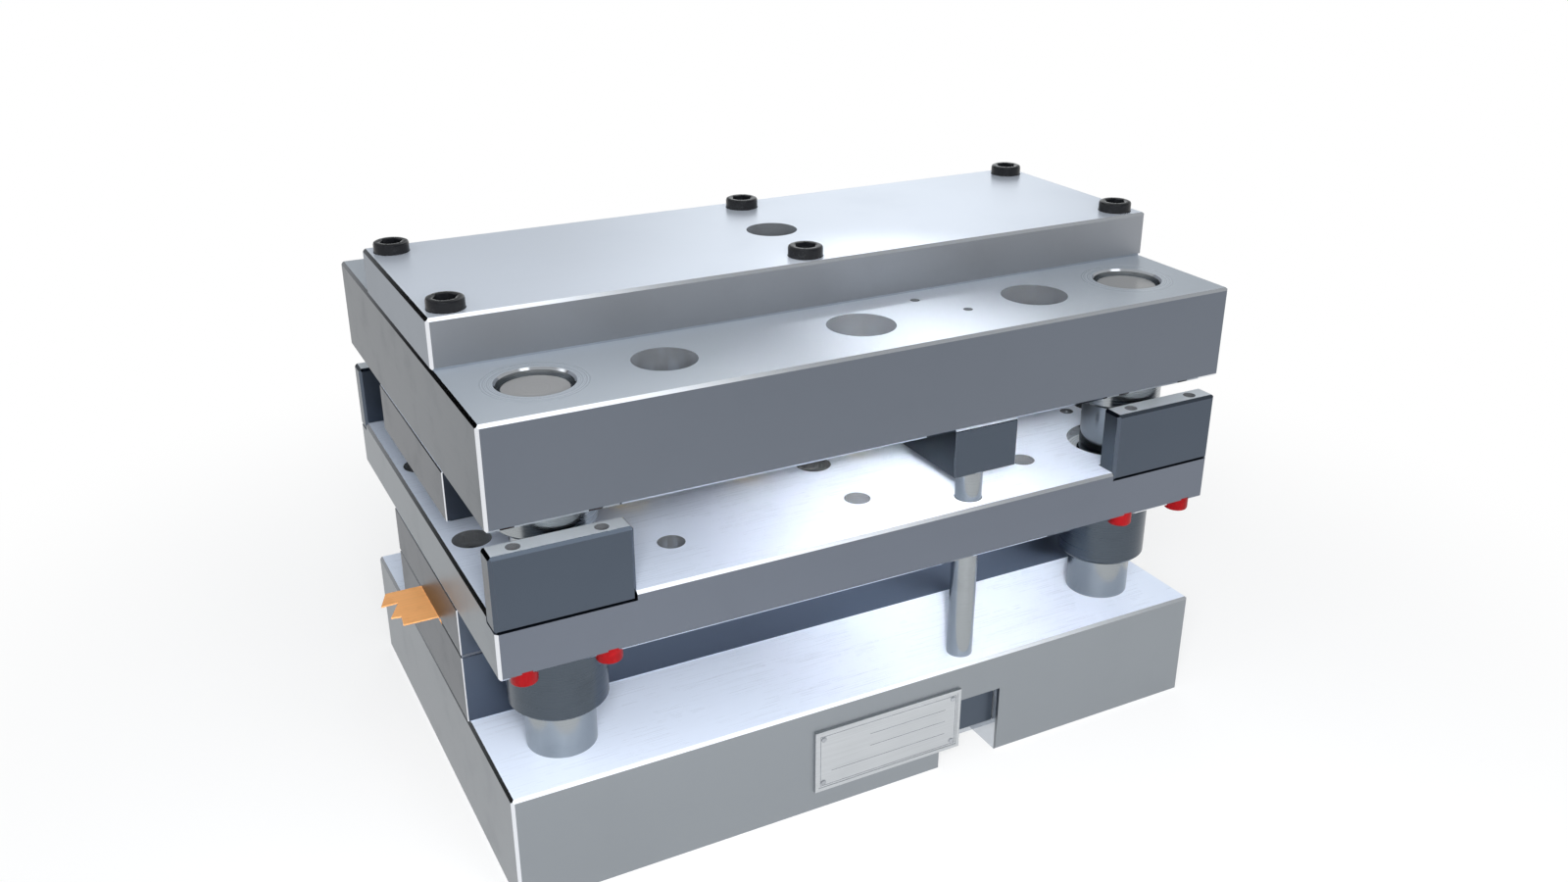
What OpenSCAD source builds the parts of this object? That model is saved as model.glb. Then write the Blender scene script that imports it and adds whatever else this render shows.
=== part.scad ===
// Progressive die for narrow strip: a lower die with four guide posts, a spring-loaded
// stripper and an upper die that slide on them, shown closed on the strip.
// X runs along the strip, -Y is the front, Z is up, and the origin is the middle of the
// lower shoe's underside. All sizes are in millimetres.

/* [Plates] */
// Length of every plate, along the strip
plate_length = 410; // [400:1:480]
// Depth of the lower shoe, the stripper plate and the upper shoe
shoe_depth = 270; // [264:1:330]
// Depth of the die plate, the stripper insert and the punch plate
package_depth = 127; // [122:1:132]
// Depth of the clamp plate on top
clamp_depth = 130; // [124:1:140]
// Thickness of the lower shoe
lower_shoe_t = 64; // [58:1:90]
// Thickness of the die plate
die_plate_t = 38; // [32:1:50]
// Thickness of the stripper insert
insert_t = 26; // [22:1:40]
// Thickness of the stripper plate
stripper_t = 29; // [27:1:45]
// Thickness of the punch plate
punch_plate_t = 26; // [22:1:32]
// Thickness of the upper shoe
upper_shoe_t = 50; // [46:1:70]
// Thickness of the clamp plate
clamp_plate_t = 25; // [18:1:40]
// Chamfer on the edges of the shoes, the stripper plate and the clamp plate
shoe_chamfer = 1.5; // [0.5:0.1:2.5]
// Chamfer on the edges of the thinner package plates
package_chamfer = 0.5; // [0.2:0.1:1]

/* [Strip] */
// Thickness of the strip
strip_t = 0.8; // [0.3:0.1:2]
// Width of the strip
strip_w = 36; // [35:0.5:37]
// Middle of the strip, from the middle of the die
strip_y = -2; // [-3:0.5:3]
// Free height above the strip when the stripper is down
strip_slack = 0.2; // [0.1:0.1:0.5]
// How far the strip advances at each stroke
pitch = 40; // [36:1:44]
// First station, where the pilot holes are pierced
first_station = -150; // [-154:1:-146]
// How far the uncut end of the strip stands out on the left
strip_overhang = 24; // [10:1:60]
// How far the other end of the strip stays inside the die
strip_end_inset = 5; // [1:1:10]

/* [Strokes] */
// Travel of the upper die down onto the stop blocks
press_stroke = 11.5; // [6:0.5:13]
// Rise of the stripper and the upper die when the press opens
die_opening = 30; // [10:1:40]

/* [Guides] */
// Diameter of the guide posts
post_d = 35; // [28:1:38]
// Distance of each post from the ends and the sides of the shoes
post_inset = 38; // [36:1:42]
// Wall of the guide bushes
bush_wall = 7; // [5:0.5:9]
// Radial running clearance of the guides
guide_fit = 0.03; // [0.01:0.01:0.1]
// How far the posts stay below the top of the upper shoe
post_recess = 3; // [1:0.5:10]
// How far the upper bushes stand out below the upper shoe
upper_bush_drop = 18; // [4:0.5:20]
// How far the stripper bushes stand out below the stripper plate
stripper_bush_drop = 40; // [20:1:50]
// How far the stripper bushes stay below the top of the stripper plate
stripper_bush_recess = 6; // [2:0.5:10]
// Chamfer on the ends of posts and bushes
guide_chamfer = 2; // [0.5:0.5:3]

/* [Stop blocks] */
// Length of a stop block
block_length = 67; // [60:1:80]
// Depth of a stop block
block_depth = 13; // [13:0.5:13.5]
// Height of a stop block
block_h = 38; // [30:1:45]
// Depth of its seat in the stripper plate
block_seat = 4.5; // [2:0.5:8]
// Distance of a stop block's screws from its ends
block_screw_inset = 13; // [10:1:20]
// How far the screw heads stand out below the stripper plate
block_screw_proud = 5.7; // [2:0.1:7]

/* [Free holes] */
// Diameter of the large free holes in the upper shoe
unit_hole_d = 35; // [24:1:40]
// Diameter of the two at the left, which are smaller
left_hole_d = 31.5; // [24:0.5:40]
// Diameter of the free holes below them in the stripper plate
stud_hole_d = 14; // [8:1:20]
// Distance between these holes along the die
unit_hole_pitch = 105; // [95:1:108]
// Diameter of the hole in the middle of the clamp plate
centre_hole_d = 27.5; // [16:0.5:40]

/* [Screws] */
// Thread of the clamp, die plate and stripper insert screws
main_screw_d = 12; // [10:2:12]
// Thread of the punch plate screws
punch_screw_d = 10; // [8:2:10]
// Thread of the stop block screws
block_screw_d = 8; // [6:2:8]
// Thread of the sub-guide and anchor screws
small_screw_d = 6; // [4:1:6]
// Distance of the clamp screws from the edges of the clamp plate
clamp_screw_inset = 12.5; // [11:0.5:14]
// How far the middle clamp screws are set off, the front one to the left and the back one to the right
clamp_screw_stagger = 7.5; // [0:0.5:10]
// How far the clamp screw heads stand out of the clamp plate
clamp_screw_proud = 5.4; // [1:0.1:9]
// Distance of the package screws from the edges of their plates
package_screw_inset = 14.5; // [13:0.5:16]
// How deep the stripper insert screws lie in the stripper plate
insert_screw_sink = 8.5; // [2:0.5:10]
// Radial clearance of a screw head in its counterbore
head_clear = 0.75; // [0.2:0.05:1]
// Radial clearance of a screw in a plain hole
shank_clear = 0.5; // [0.2:0.1:1]

/* [Springs and hangers] */
// Outer diameter of a die spring
spring_od = 25; // [20:1:28]
// Radial size of the spring wire
spring_wire_w = 5; // [3:0.5:6]
// Height of the spring wire
spring_wire_h = 3; // [2:0.5:4]
// Turns of a spring
spring_turns = 6; // [5:1:8]
// Depth of the spring pockets in the upper shoe
spring_pocket = 22; // [10:1:24]
// Radial clearance of a spring in its pocket
spring_clear = 1; // [0.5:0.1:2]
// Distance between the springs along the die
spring_pitch = 70; // [66:1:71]
// Distance of the springs from the middle of the die
spring_y = 36; // [35.5:0.5:44]
// Diameter of a hanger bolt's shoulder
hanger_d = 16; // [12:1:18]
// Height of a hanger bolt's head
hanger_head_h = 10; // [6:1:12]
// Depth of the hanger bolts' thread in the stripper plate
hanger_thread = 18; // [12:1:22]
// Free height left above a hanger bolt's head at full stroke
hanger_room = 1.5; // [1:0.5:3]
// Distance of the hanger bolts from the ends of the die
hanger_inset = 33; // [30:1:38]
// Distance of the hanger bolts from the middle of the die
hanger_y = 28; // [26:1:30]

/* [Punches] */
// Diameter of the pilot holes
pierce_d = 4; // [3:0.5:5]
// Diameter of the hole in the middle of the blank
centre_d = 8; // [5:0.5:9]
// Diameter of the small holes beside it
side_d = 4; // [2:0.5:5]
// Distance of the small holes from the middle of the blank
side_offset = 9; // [8.5:0.5:10]
// Distance of the pilot holes from the middle of the strip
web_y = 14.5; // [14:0.5:15]
// Length of the blank
blank_l = 30; // [26:1:31]
// Width of the blank
blank_w = 22; // [18:1:23]
// Corner radius of the blank
blank_r = 2; // [1:0.5:4]
// Clearance of a punch in the die and in the stripper insert
punch_fit = 0.05; // [0.02:0.01:0.1]
// How far the punches stay above the stripper insert's underside
punch_lift = 1; // [0.5:0.5:3]
// How far the pilots stay above the stripper insert's underside
pilot_lift = 0.2; // [0.1:0.1:1]
// Height of the punch heads
punch_head_h = 5; // [3:0.5:8]
// Radial size of a punch head's lip
punch_lip = 1.5; // [1:0.5:2]
// Depth of the cutting edge in the die
die_land = 8; // [4:1:15]

/* [Sub-guide] */
// Diameter of the sub-guide pin
sub_pin_d = 14; // [10:1:16]
// Place of the sub-guide pin along the die
sub_pin_x = 52.5; // [50:0.5:56]
// Distance of the sub-guide pin from the front of the shoes
sub_pin_inset = 13.5; // [13:0.5:16]
// Width of the sub-guide block
sub_block_w = 37.5; // [34:0.5:44]
// Height of the sub-guide block
sub_block_h = 25.5; // [20:0.5:30]
// Width of the notch in the front of the lower shoe
notch_w = 38.5; // [36:0.5:44]
// Depth of the notch
notch_depth = 22.5; // [22:0.5:24]
// Height of the notch
notch_h = 41.5; // [34:0.5:46]
// Height of the anchor block in the notch
anchor_h = 24; // [18:1:30]
// Depth of the anchor block
anchor_depth = 17.5; // [17:0.5:19]
// Clearance of the anchor block in the notch
anchor_clear = 0.25; // [0.1:0.05:0.5]

/* [Name plate] */
// Width of the blank name plate
tag_w = 90; // [60:1:100]
// Height of the name plate
tag_h = 37; // [24:1:44]
// Thickness of the name plate
tag_t = 1.5; // [1:0.1:3]
// Height of the name plate's middle above the floor
tag_z = 31.5; // [24:0.5:34]
// Width of its raised border
tag_border = 2; // [1:0.5:3]
// Depth of the field inside the border
tag_field = 0.3; // [0.1:0.1:0.5]
// Distance of the rivets from the edges of the name plate
rivet_inset = 5; // [4.5:0.5:7]
// Diameter of the rivets' heads
rivet_head_d = 3; // [2.5:0.5:4]

/* [Hidden] */

// How far a cut runs past the face it opens
over = 1;
$fn = 48;

// Heights of the layers, from the floor up
z_die = lower_shoe_t;
z_strip = z_die + die_plate_t;
z_insert = z_strip + strip_t + strip_slack;
z_stripper = z_insert + insert_t;
z_stripper_top = z_stripper + stripper_t;
z_block = z_stripper_top - block_seat;
z_upper = z_block + block_h + press_stroke;
z_upper_top = z_upper + upper_shoe_t;
z_clamp_top = z_upper_top + clamp_plate_t;
z_punch_plate = z_upper - punch_plate_t;

// Outline and colours
half_length = plate_length / 2;
front = -shoe_depth / 2;
steel_light = [0.66, 0.68, 0.70];
steel_mid = [0.55, 0.58, 0.61];
steel_dark = [0.30, 0.34, 0.38];
steel_bright = [0.78, 0.80, 0.82];
black = [0.06, 0.06, 0.07];
red = [0.85, 0.08, 0.10];
copper = [0.90, 0.55, 0.32];
tag_colour = [0.86, 0.87, 0.88];
spring_colour = [0.90, 0.75, 0.15];

// Socket head cap screws follow their thread; the heads of the smaller ones are a bit wider
head_share = 1.5;
small_head_extra = 1;
large_thread = 12;
socket_af_share = 0.83;
socket_depth_share = 0.5;
head_bevel_share = 0.08;
function head_d(d) = head_share * d + (d < large_thread ? small_head_extra : 0);
function socket_af(d) = socket_af_share * d;

// Round punches and their die buttons follow the hole they cut
shank_extra = 4;
button_extra = 8;
function punch_shank_d(d) = d + shank_extra;
function button_d(d) = d + button_extra;
slug_relief = 0.75;
slug_clear = 1.5;
punch_clear = 0.5;

// Stations of the strip
pierce_x = first_station;
centre_x = pierce_x + pitch;
side_x = centre_x + pitch;
blank_x = side_x + pitch;
strip_right = half_length - strip_end_inset;
both = [-1, 1];
pierce_sites = [for (s = both) [pierce_x, strip_y + s * web_y]];
centre_sites = [[centre_x, strip_y]];
side_sites = [for (s = both) [side_x + s * side_offset, strip_y]];
pilot_stations = [1, 2, 4, 5];
pilot_sites = [for (k = pilot_stations) for (s = both) [pierce_x + k * pitch, strip_y + s * web_y]];
strip_stations = floor((strip_right - pierce_x - pierce_d) / pitch);
strip_web = 1;
window_stations = floor((strip_right - blank_x - blank_l / 2 - strip_web) / pitch);

// The torn end of the strip: how far each point falls short of the tip, and its place
// across the strip as a share of the half width
tear = [[5, 1], [0, 0.3], [9, 0.33], [2, -0.46], [7, -0.51], [6, -1]];

// Pilots and the holes they enter in the die; shares of the radius at the tip and halfway
// up the nose
pilot_play = 0.05;
pilot_d = pierce_d - 2 * pilot_play;
pilot_nose = pilot_d;
pilot_tip_share = 0.3;
pilot_nose_share = 0.8;
pilot_hole_depth = 14;

// Stock guide pins on both sides of the strip, between every second pair of stations
guide_pin_step = 2 * pitch;
guide_pin_shift = pitch / 2;
guide_pin_d = 8;
guide_pin_play = 0.2;
guide_pin_seat = 20;
guide_pin_proud = 3.5;
guide_pin_relief = 0.6;
guide_pin_count = 5;
guide_pin_y = strip_w / 2 + guide_pin_d / 2 + guide_pin_play;
guide_pin_sites = [
  for (k = [0 : guide_pin_count - 1]) for (s = both)
    [pierce_x + k * guide_pin_step - guide_pin_shift, strip_y + s * guide_pin_y]
];

// Blanking die, an insert with walls around its window, which ends short of the side die buttons
button_gap = 2;
blanking_wall_x = pitch - side_offset - button_d(side_d) / 2 - button_gap - blank_l / 2;
blanking_wall_y = 6;
blanking_flange = 3;
die_insert_l = blank_l + 2 * blanking_wall_x;
die_insert_w = blank_w + 2 * blanking_wall_y;

// Guide posts and bushes
post_x = half_length - post_inset;
post_y = shoe_depth / 2 - post_inset;
post_floor = 3;
post_top = z_upper_top - post_recess;
bush_od = post_d + 2 * (guide_fit + bush_wall);
corners = [for (sx = both) for (sy = both) [sx, sy]];
post_sites = [for (c = corners) [c.x * post_x, c.y * post_y]];

// Clearance between a bush and the pieces beside it, which are cut back where it comes near
bush_relief = 0.4;
bush_relief_d = bush_od + 2 * bush_relief;

// Free holes above each other in the upper shoe and the stripper plate
unit_sites = [for (kx = [-1 : 1]) for (sy = both) [kx * unit_hole_pitch, sy * post_y]];
left_unit_sites = [for (s = unit_sites) if (s.x < 0) s];
other_unit_sites = [for (s = unit_sites) if (s.x >= 0) s];

// Stop blocks
block_y = shoe_depth / 2 - block_depth / 2;
block_x = half_length - block_length / 2;
block_screw_dx = block_length / 2 - block_screw_inset;
block_screw_sites = [
  for (c = corners) for (s = both)
    [c.x * block_x + s * block_screw_dx, c.y * block_y]
];
block_screw_z = z_stripper - block_screw_proud + block_screw_d;
block_screw_grip = 26;
block_tap_d = 0.85 * block_screw_d;

// Clamp plate screws
clamp_screw_sites = [
  for (kx = [-1 : 1]) for (sy = both) [
    kx * (half_length - clamp_screw_inset) + (kx == 0 ? sy * clamp_screw_stagger : 0),
    sy * (clamp_depth / 2 - clamp_screw_inset)
  ]
];
clamp_screw_z = z_clamp_top + clamp_screw_proud - main_screw_d;
clamp_head_clear = 0.2;
clamp_thread = 16;

// Screws and dowels of the die plate and of the stripper insert, one layout for both
package_sites = [
  for (kx = [-1 : 1]) for (sy = both)
    [kx * (half_length - package_screw_inset), sy * (package_depth / 2 - package_screw_inset)]
];
insert_screw_z = z_stripper_top - insert_screw_sink - main_screw_d;
die_screw_sink = 1;
die_screw_z = z_strip - die_screw_sink - main_screw_d;
package_thread = 18;
dowel_d = 8;
dowel_end_inset = 34;
dowel_side_inset = 11.5;
dowel_x = half_length - dowel_end_inset;
dowel_y = package_depth / 2 - dowel_side_inset;
dowel_sites = [for (s = both) [s * dowel_x, -s * dowel_y]];
dowel_grip = 18;
dowel_recess = 4;

// Punch plate screws and dowels in the upper shoe, the screws between the springs
punch_screw_inset = 17.5;
punch_screw_sites = [
  for (kx = [-2, -1, 1, 2]) for (sy = both)
    [kx * spring_pitch, sy * (package_depth / 2 - punch_screw_inset)]
];
punch_screw_sink = 1;
punch_screw_z = z_upper_top - punch_screw_sink - punch_screw_d;
punch_screw_grip = 18;
punch_dowel_inset = 11;
punch_dowel_sites = [for (s = both) [s * (half_length - punch_dowel_inset), 0]];

// Springs between the stripper plate and the pockets of the upper shoe
spring_sites = [
  for (kx = [-1.5, -0.5, 0.5, 1.5]) for (sy = both) [kx * spring_pitch, sy * spring_y]
];
spring_length = z_upper + spring_pocket - z_stripper_top;
spring_hole_d = spring_od + 2 * spring_clear;
spring_steps = 12;
spring_flat = 0.6;

// Hanger bolts, screwed into the stripper plate, their heads stop under the upper shoe
hanger_thread_share = 0.75;
hanger_head_d = head_share * hanger_d;
hanger_thread_d = hanger_thread_share * hanger_d;
hanger_sites = [for (c = corners) [c.x * (half_length - hanger_inset), c.y * hanger_y]];
hanger_seat = z_upper_top - hanger_room - press_stroke - hanger_head_h;
hanger_clear = 0.3;

// Sub-guide pin, the block that runs on it and the block that anchors it
sub_pin_y = front + sub_pin_inset;
sub_pin_site = [[sub_pin_x, sub_pin_y]];
sub_pin_running = 0.05;
sub_pin_clear = 0.3;
sub_pin_floor = 3;
sub_block_back = 1;
sub_block_l = shoe_depth / 2 - package_depth / 2 - sub_block_back;
sub_block_z = z_upper - sub_block_h;
sub_pin_top = sub_block_z + die_opening + sub_pin_d;
sub_pin_room = 2;
sub_fix_dx = 8;
sub_fix_pitch = 25;
sub_fix_inset = 11.5;
sub_fix_back = front + sub_block_l - sub_fix_inset;
sub_fix_front = sub_fix_back - sub_fix_pitch;
sub_screw_sites = [[sub_pin_x - sub_fix_dx, sub_fix_front], [sub_pin_x + sub_fix_dx, sub_fix_back]];
sub_dowel_sites = [[sub_pin_x + sub_fix_dx, sub_fix_front], [sub_pin_x - sub_fix_dx, sub_fix_back]];
sub_dowel_d = 5;
sub_dowel_seat = 5;
sub_dowel_recess = 6;
small_screw_sink = 0.5;
sub_screw_z = sub_block_z + small_screw_sink + small_screw_d;
sub_screw_grip = 14;
notch_back = front + notch_depth;
anchor_z = notch_h - anchor_h;
anchor_screw_dx = 12.5;
anchor_screw_z = anchor_z + small_screw_sink + small_screw_d;
anchor_screw_grip = 12;
anchor_y = notch_back - anchor_depth / 2;
anchor_screw_sites = [for (s = both) [sub_pin_x + s * anchor_screw_dx, anchor_y]];

// Name plate and its rivets, their heads a rim, a shoulder and a low crown
rivet_d = 2;
rivet_head_h = 0.7;
rivet_rim_h = 0.3;
rivet_shoulder_h = 0.6;
rivet_shoulder_share = 0.75;
rivet_grip = 5;
tag_corners = [
  for (c = corners)
    [c.x * (tag_w / 2 - rivet_inset), tag_z + c.y * (tag_h / 2 - rivet_inset)]
];

// A rectangle with its corners cut off
module cut_rect(l, w, c) {
  polygon([
    [-l / 2 + c, -w / 2], [l / 2 - c, -w / 2], [l / 2, -w / 2 + c], [l / 2, w / 2 - c],
    [l / 2 - c, w / 2], [-l / 2 + c, w / 2], [-l / 2, w / 2 - c], [-l / 2, -w / 2 + c]
  ]);
}

// A rectangle with round corners
module round_rect(l, w, r) {
  square([l, w - 2 * r], center = true);
  square([l - 2 * r, w], center = true);
  for (c = corners)
    translate([c.x * (l / 2 - r), c.y * (w / 2 - r)]) circle(r);
}

// A block that stands on z = 0 with every edge chamfered
module chamfered_block(l, w, h, c) {
  intersection() {
    linear_extrude(h) cut_rect(l, w, c);
    rotate([90, 0, 0]) linear_extrude(w, center = true) translate([0, h / 2]) cut_rect(l, h, c);
    rotate([90, 0, 90]) linear_extrude(l, center = true) translate([0, h / 2]) cut_rect(w, h, c);
  }
}

// A round bar from z = 0 to h with chamfered ends
module bar(d, h, c) {
  r = d / 2;
  rotate_extrude() polygon([[0, 0], [r - c, 0], [r, c], [r, h - c], [r - c, h], [0, h]]);
}

// A bush from z = 0 to h with chamfers outside below and inside above
module bush(od, id, h, c) {
  ro = od / 2;
  ri = id / 2;
  rotate_extrude()
    polygon([
      [ri, 0], [ro - c, 0], [ro, c], [ro, h], [ri + c / 2, h], [ri, h - c / 2]
    ]);
}

// A hole from z0 up to z1 at every site
module holes(sites, d, z0, z1) {
  for (p = sites) translate([p.x, p.y, z0]) cylinder(d = d, h = z1 - z0);
}

// A cap screw with the bearing face of its head on z = 0 and its thread downwards
module cap_screw(d, grip) {
  bevel = head_bevel_share * d;
  difference() {
    rotate_extrude()
      polygon([
        [0, -grip], [d / 2 - bevel, -grip], [d / 2, bevel - grip], [d / 2, 0],
        [head_d(d) / 2, 0], [head_d(d) / 2, d - bevel], [head_d(d) / 2 - bevel, d], [0, d]
      ]);
    translate([0, 0, d * (1 - socket_depth_share)])
      cylinder(d = socket_af(d) / cos(30), h = d * socket_depth_share + over, $fn = 6);
  }
}

// Cap screws at every site, their heads up, or down where flip is true
module cap_screws(sites, d, z, grip, flip = false) {
  for (p = sites) translate([p.x, p.y, z]) rotate([flip ? 180 : 0, 0, 0]) cap_screw(d, grip);
}

// The stepped hole of a cap screw, from its bearing face up to top and down to bottom
module screw_cuts(sites, d, z, top, bottom, clear) {
  holes(sites, head_d(d) + 2 * clear, z, top);
  holes(sites, d + 2 * shank_clear, bottom, z + over);
}

// The same stepped hole for a screw whose head is below
module screw_cuts_below(sites, d, z, bottom, top, clear) {
  holes(sites, head_d(d) + 2 * clear, bottom, z);
  holes(sites, d + 2 * shank_clear, z - over, top);
}

// A round punch with its point, its shank and the head under the upper shoe
module round_punch(d) {
  tip = z_insert + punch_lift;
  shank = punch_shank_d(d) / 2;
  step = z_stripper + press_stroke + punch_lip;
  rotate_extrude()
    polygon([
      [0, tip], [d / 2, tip], [d / 2, step], [shank, step + shank - d / 2],
      [shank, z_upper - punch_head_h], [shank + punch_lip, z_upper - punch_head_h],
      [shank + punch_lip, z_upper], [0, z_upper]
    ]);
}

// A pilot, a round punch with a tapered nose
module pilot() {
  tip = z_insert + pilot_lift;
  r = pilot_d / 2;
  shank = punch_shank_d(pierce_d) / 2;
  step = z_stripper + press_stroke + punch_lip;
  rotate_extrude()
    polygon([
      [0, tip], [r * pilot_tip_share, tip], [r * pilot_nose_share, tip + pilot_nose / 2],
      [r, tip + pilot_nose],
      [r, step], [shank, step + shank - r],
      [shank, z_upper - punch_head_h], [shank + punch_lip, z_upper - punch_head_h],
      [shank + punch_lip, z_upper], [0, z_upper]
    ]);
}

// The bores of round punches in the punch plate
module punch_bores(sites, d) {
  holes(sites, punch_shank_d(d), z_punch_plate - over, z_upper);
  holes(sites, punch_shank_d(d) + 2 * (punch_lip + punch_fit), z_upper - punch_head_h, z_upper + over);
}

// The free holes of round punches in the stripper plate
module punch_passages(sites, d) {
  holes(sites, punch_shank_d(d) + 2 * punch_clear, z_stripper - over, z_stripper_top + over);
}

// A die button with its cutting edge and the relief below it
module die_button(d) {
  ro = button_d(d) / 2;
  ri = d / 2 + punch_fit;
  rotate_extrude()
    polygon([
      [ri + slug_relief, z_die], [ro, z_die], [ro, z_strip], [ri, z_strip],
      [ri, z_strip - die_land], [ri + slug_relief, z_strip - die_land - slug_relief]
    ]);
}

// The blank's outline grown by a clearance
module blank_outline(grow) {
  translate([blank_x, strip_y])
    round_rect(blank_l + 2 * grow, blank_w + 2 * grow, blank_r + grow);
}

module blank_cut(grow, z0, z1) {
  translate([0, 0, z0]) linear_extrude(z1 - z0) blank_outline(grow);
}

// One ring of a coil spring's wire, which is rectangular
function spring_ring(turn, length) =
  let (
    share = min(max((turn - spring_flat) / (spring_turns - 2 * spring_flat), 0), 1),
    z = share * (length - spring_wire_h),
    a = 360 * turn,
    ro = spring_od / 2,
    ri = ro - spring_wire_w
  )
  [
    [ri * cos(a), ri * sin(a), z], [ro * cos(a), ro * sin(a), z],
    [ro * cos(a), ro * sin(a), z + spring_wire_h], [ri * cos(a), ri * sin(a), z + spring_wire_h]
  ];

// A die spring that stands on z = 0
module spring(length) {
  last = spring_turns * spring_steps;
  points = [for (i = [0 : last]) each spring_ring(i / spring_steps, length)];
  sides = [
    for (i = [0 : last - 1]) for (j = [0 : 3])
      let (a = 4 * i + j, b = 4 * i + (j + 1) % 4, c = b + 4, d = a + 4)
        each [[a, b, c], [a, c, d]]
  ];
  e = 4 * last;
  polyhedron(points, concat([[3, 2, 1, 0]], sides, [[e, e + 1, e + 2, e + 3]]));
}

// Lower die

module lower_shoe() {
  color(steel_light)
    difference() {
      chamfered_block(plate_length, shoe_depth, lower_shoe_t, shoe_chamfer);
      holes(post_sites, post_d, -over, z_die + over);
      holes(package_sites, main_screw_d, z_die - package_thread, z_die + over);
      holes(dowel_sites, dowel_d, z_die - dowel_grip, z_die + over);
      holes(pierce_sites, pierce_d + 2 * slug_clear, -over, z_die + over);
      holes(centre_sites, centre_d + 2 * slug_clear, -over, z_die + over);
      holes(side_sites, side_d + 2 * slug_clear, -over, z_die + over);
      blank_cut(slug_clear, -over, z_die + over);
      translate([sub_pin_x - notch_w / 2, front - over, -over])
        cube([notch_w, notch_depth + over, notch_h + over]);
      holes(sub_pin_site, sub_pin_d, notch_h - over, z_die + over);
      holes(anchor_screw_sites, small_screw_d, notch_h - over, notch_h + anchor_screw_grip);
      for (p = tag_corners)
        translate([p.x, front - over, p.y]) rotate([-90, 0, 0])
          cylinder(d = rivet_d, h = rivet_grip + over);
    }
}

module die_plate() {
  color(steel_mid)
    difference() {
      translate([0, 0, z_die])
        chamfered_block(plate_length, package_depth, die_plate_t, package_chamfer);
      screw_cuts(package_sites, main_screw_d, die_screw_z, z_strip + over, z_die - over, head_clear);
      holes(dowel_sites, dowel_d, z_die - over, z_strip + over);
      holes(pierce_sites, button_d(pierce_d), z_die - over, z_strip + over);
      holes(centre_sites, button_d(centre_d), z_die - over, z_strip + over);
      holes(side_sites, button_d(side_d), z_die - over, z_strip + over);
      holes(pilot_sites, pierce_d, z_strip - pilot_hole_depth, z_strip + over);
      holes(guide_pin_sites, guide_pin_d, z_strip - guide_pin_seat, z_strip + over);
      translate([blank_x - die_insert_l / 2, strip_y - die_insert_w / 2, z_die - over])
        cube([die_insert_l, die_insert_w, die_plate_t + 2 * over]);
      holes(post_sites, bush_relief_d, z_die - over, z_strip + over);
    }
}

module blanking_die() {
  color(steel_bright)
    difference() {
      translate([blank_x - die_insert_l / 2, strip_y - die_insert_w / 2, z_die])
        cube([die_insert_l, die_insert_w, die_plate_t]);
      blank_cut(punch_fit, z_strip - die_land - over, z_strip + over);
      blank_cut(slug_relief, z_die - over, z_strip - die_land);
    }
}

module die_buttons(sites, d) {
  color(steel_bright)
    for (p = sites) translate([p.x, p.y, 0]) die_button(d);
}

module stock_guide_pins() {
  color(steel_bright)
    for (p = guide_pin_sites)
      translate([p.x, p.y, z_strip - guide_pin_seat])
        bar(guide_pin_d, guide_pin_seat + guide_pin_proud, package_chamfer);
}

module dowels(sites, d, z0, z1) {
  color(steel_bright)
    for (p = sites) translate([p.x, p.y, z0]) bar(d, z1 - z0, package_chamfer);
}

module screws(sites, d, z, grip, flip = false) {
  color(black) cap_screws(sites, d, z, grip, flip);
}

module guide_post(sx, sy) {
  color(steel_bright)
    translate([sx * post_x, sy * post_y, post_floor])
      bar(post_d, post_top - post_floor, guide_chamfer);
}

module sub_guide_pin() {
  color(steel_bright)
    translate([sub_pin_x, sub_pin_y, anchor_z + sub_pin_floor])
      bar(sub_pin_d, sub_pin_top - anchor_z - sub_pin_floor, guide_chamfer / 2);
}

module anchor_block() {
  color(steel_dark)
    difference() {
      translate([sub_pin_x, anchor_y, anchor_z])
        chamfered_block(notch_w - 2 * anchor_clear, anchor_depth, anchor_h, package_chamfer);
      holes(sub_pin_site, sub_pin_d, anchor_z - over, notch_h + over);
      screw_cuts_below(anchor_screw_sites, small_screw_d, anchor_screw_z, anchor_z - over,
        notch_h + over, shank_clear);
    }
}

module name_plate() {
  color(tag_colour)
    difference() {
      translate([-tag_w / 2, front - tag_t, tag_z - tag_h / 2]) cube([tag_w, tag_t, tag_h]);
      translate([-tag_w / 2 + tag_border, front - tag_t - over, tag_z - tag_h / 2 + tag_border])
        cube([tag_w - 2 * tag_border, tag_field + over, tag_h - 2 * tag_border]);
      for (p = tag_corners)
        translate([p.x, front - tag_t, p.y]) rotate([-90, 0, 0])
          cylinder(d = rivet_d, h = tag_t + over);
    }
}

// Rivets with low domed heads; one that lies over the notch grips only the name plate
module name_plate_rivets() {
  r = rivet_head_d / 2;
  color(steel_bright)
    for (p = tag_corners) {
      over_notch = abs(p.x - sub_pin_x) < notch_w / 2 + rivet_d && p.y < notch_h + rivet_d;
      grip = tag_t - tag_field + (over_notch ? 0 : rivet_grip);
      translate([p.x, front - tag_t + tag_field, p.y]) rotate([90, 0, 0])
        rotate_extrude($fn = 24)
          polygon([
            [0, -grip], [rivet_d / 2, -grip], [rivet_d / 2, 0], [r, 0],
            [r, rivet_rim_h], [r * rivet_shoulder_share, rivet_shoulder_h], [0, rivet_head_h]
          ]);
    }
}

// The strip, with what each station has cut out of it so far

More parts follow.
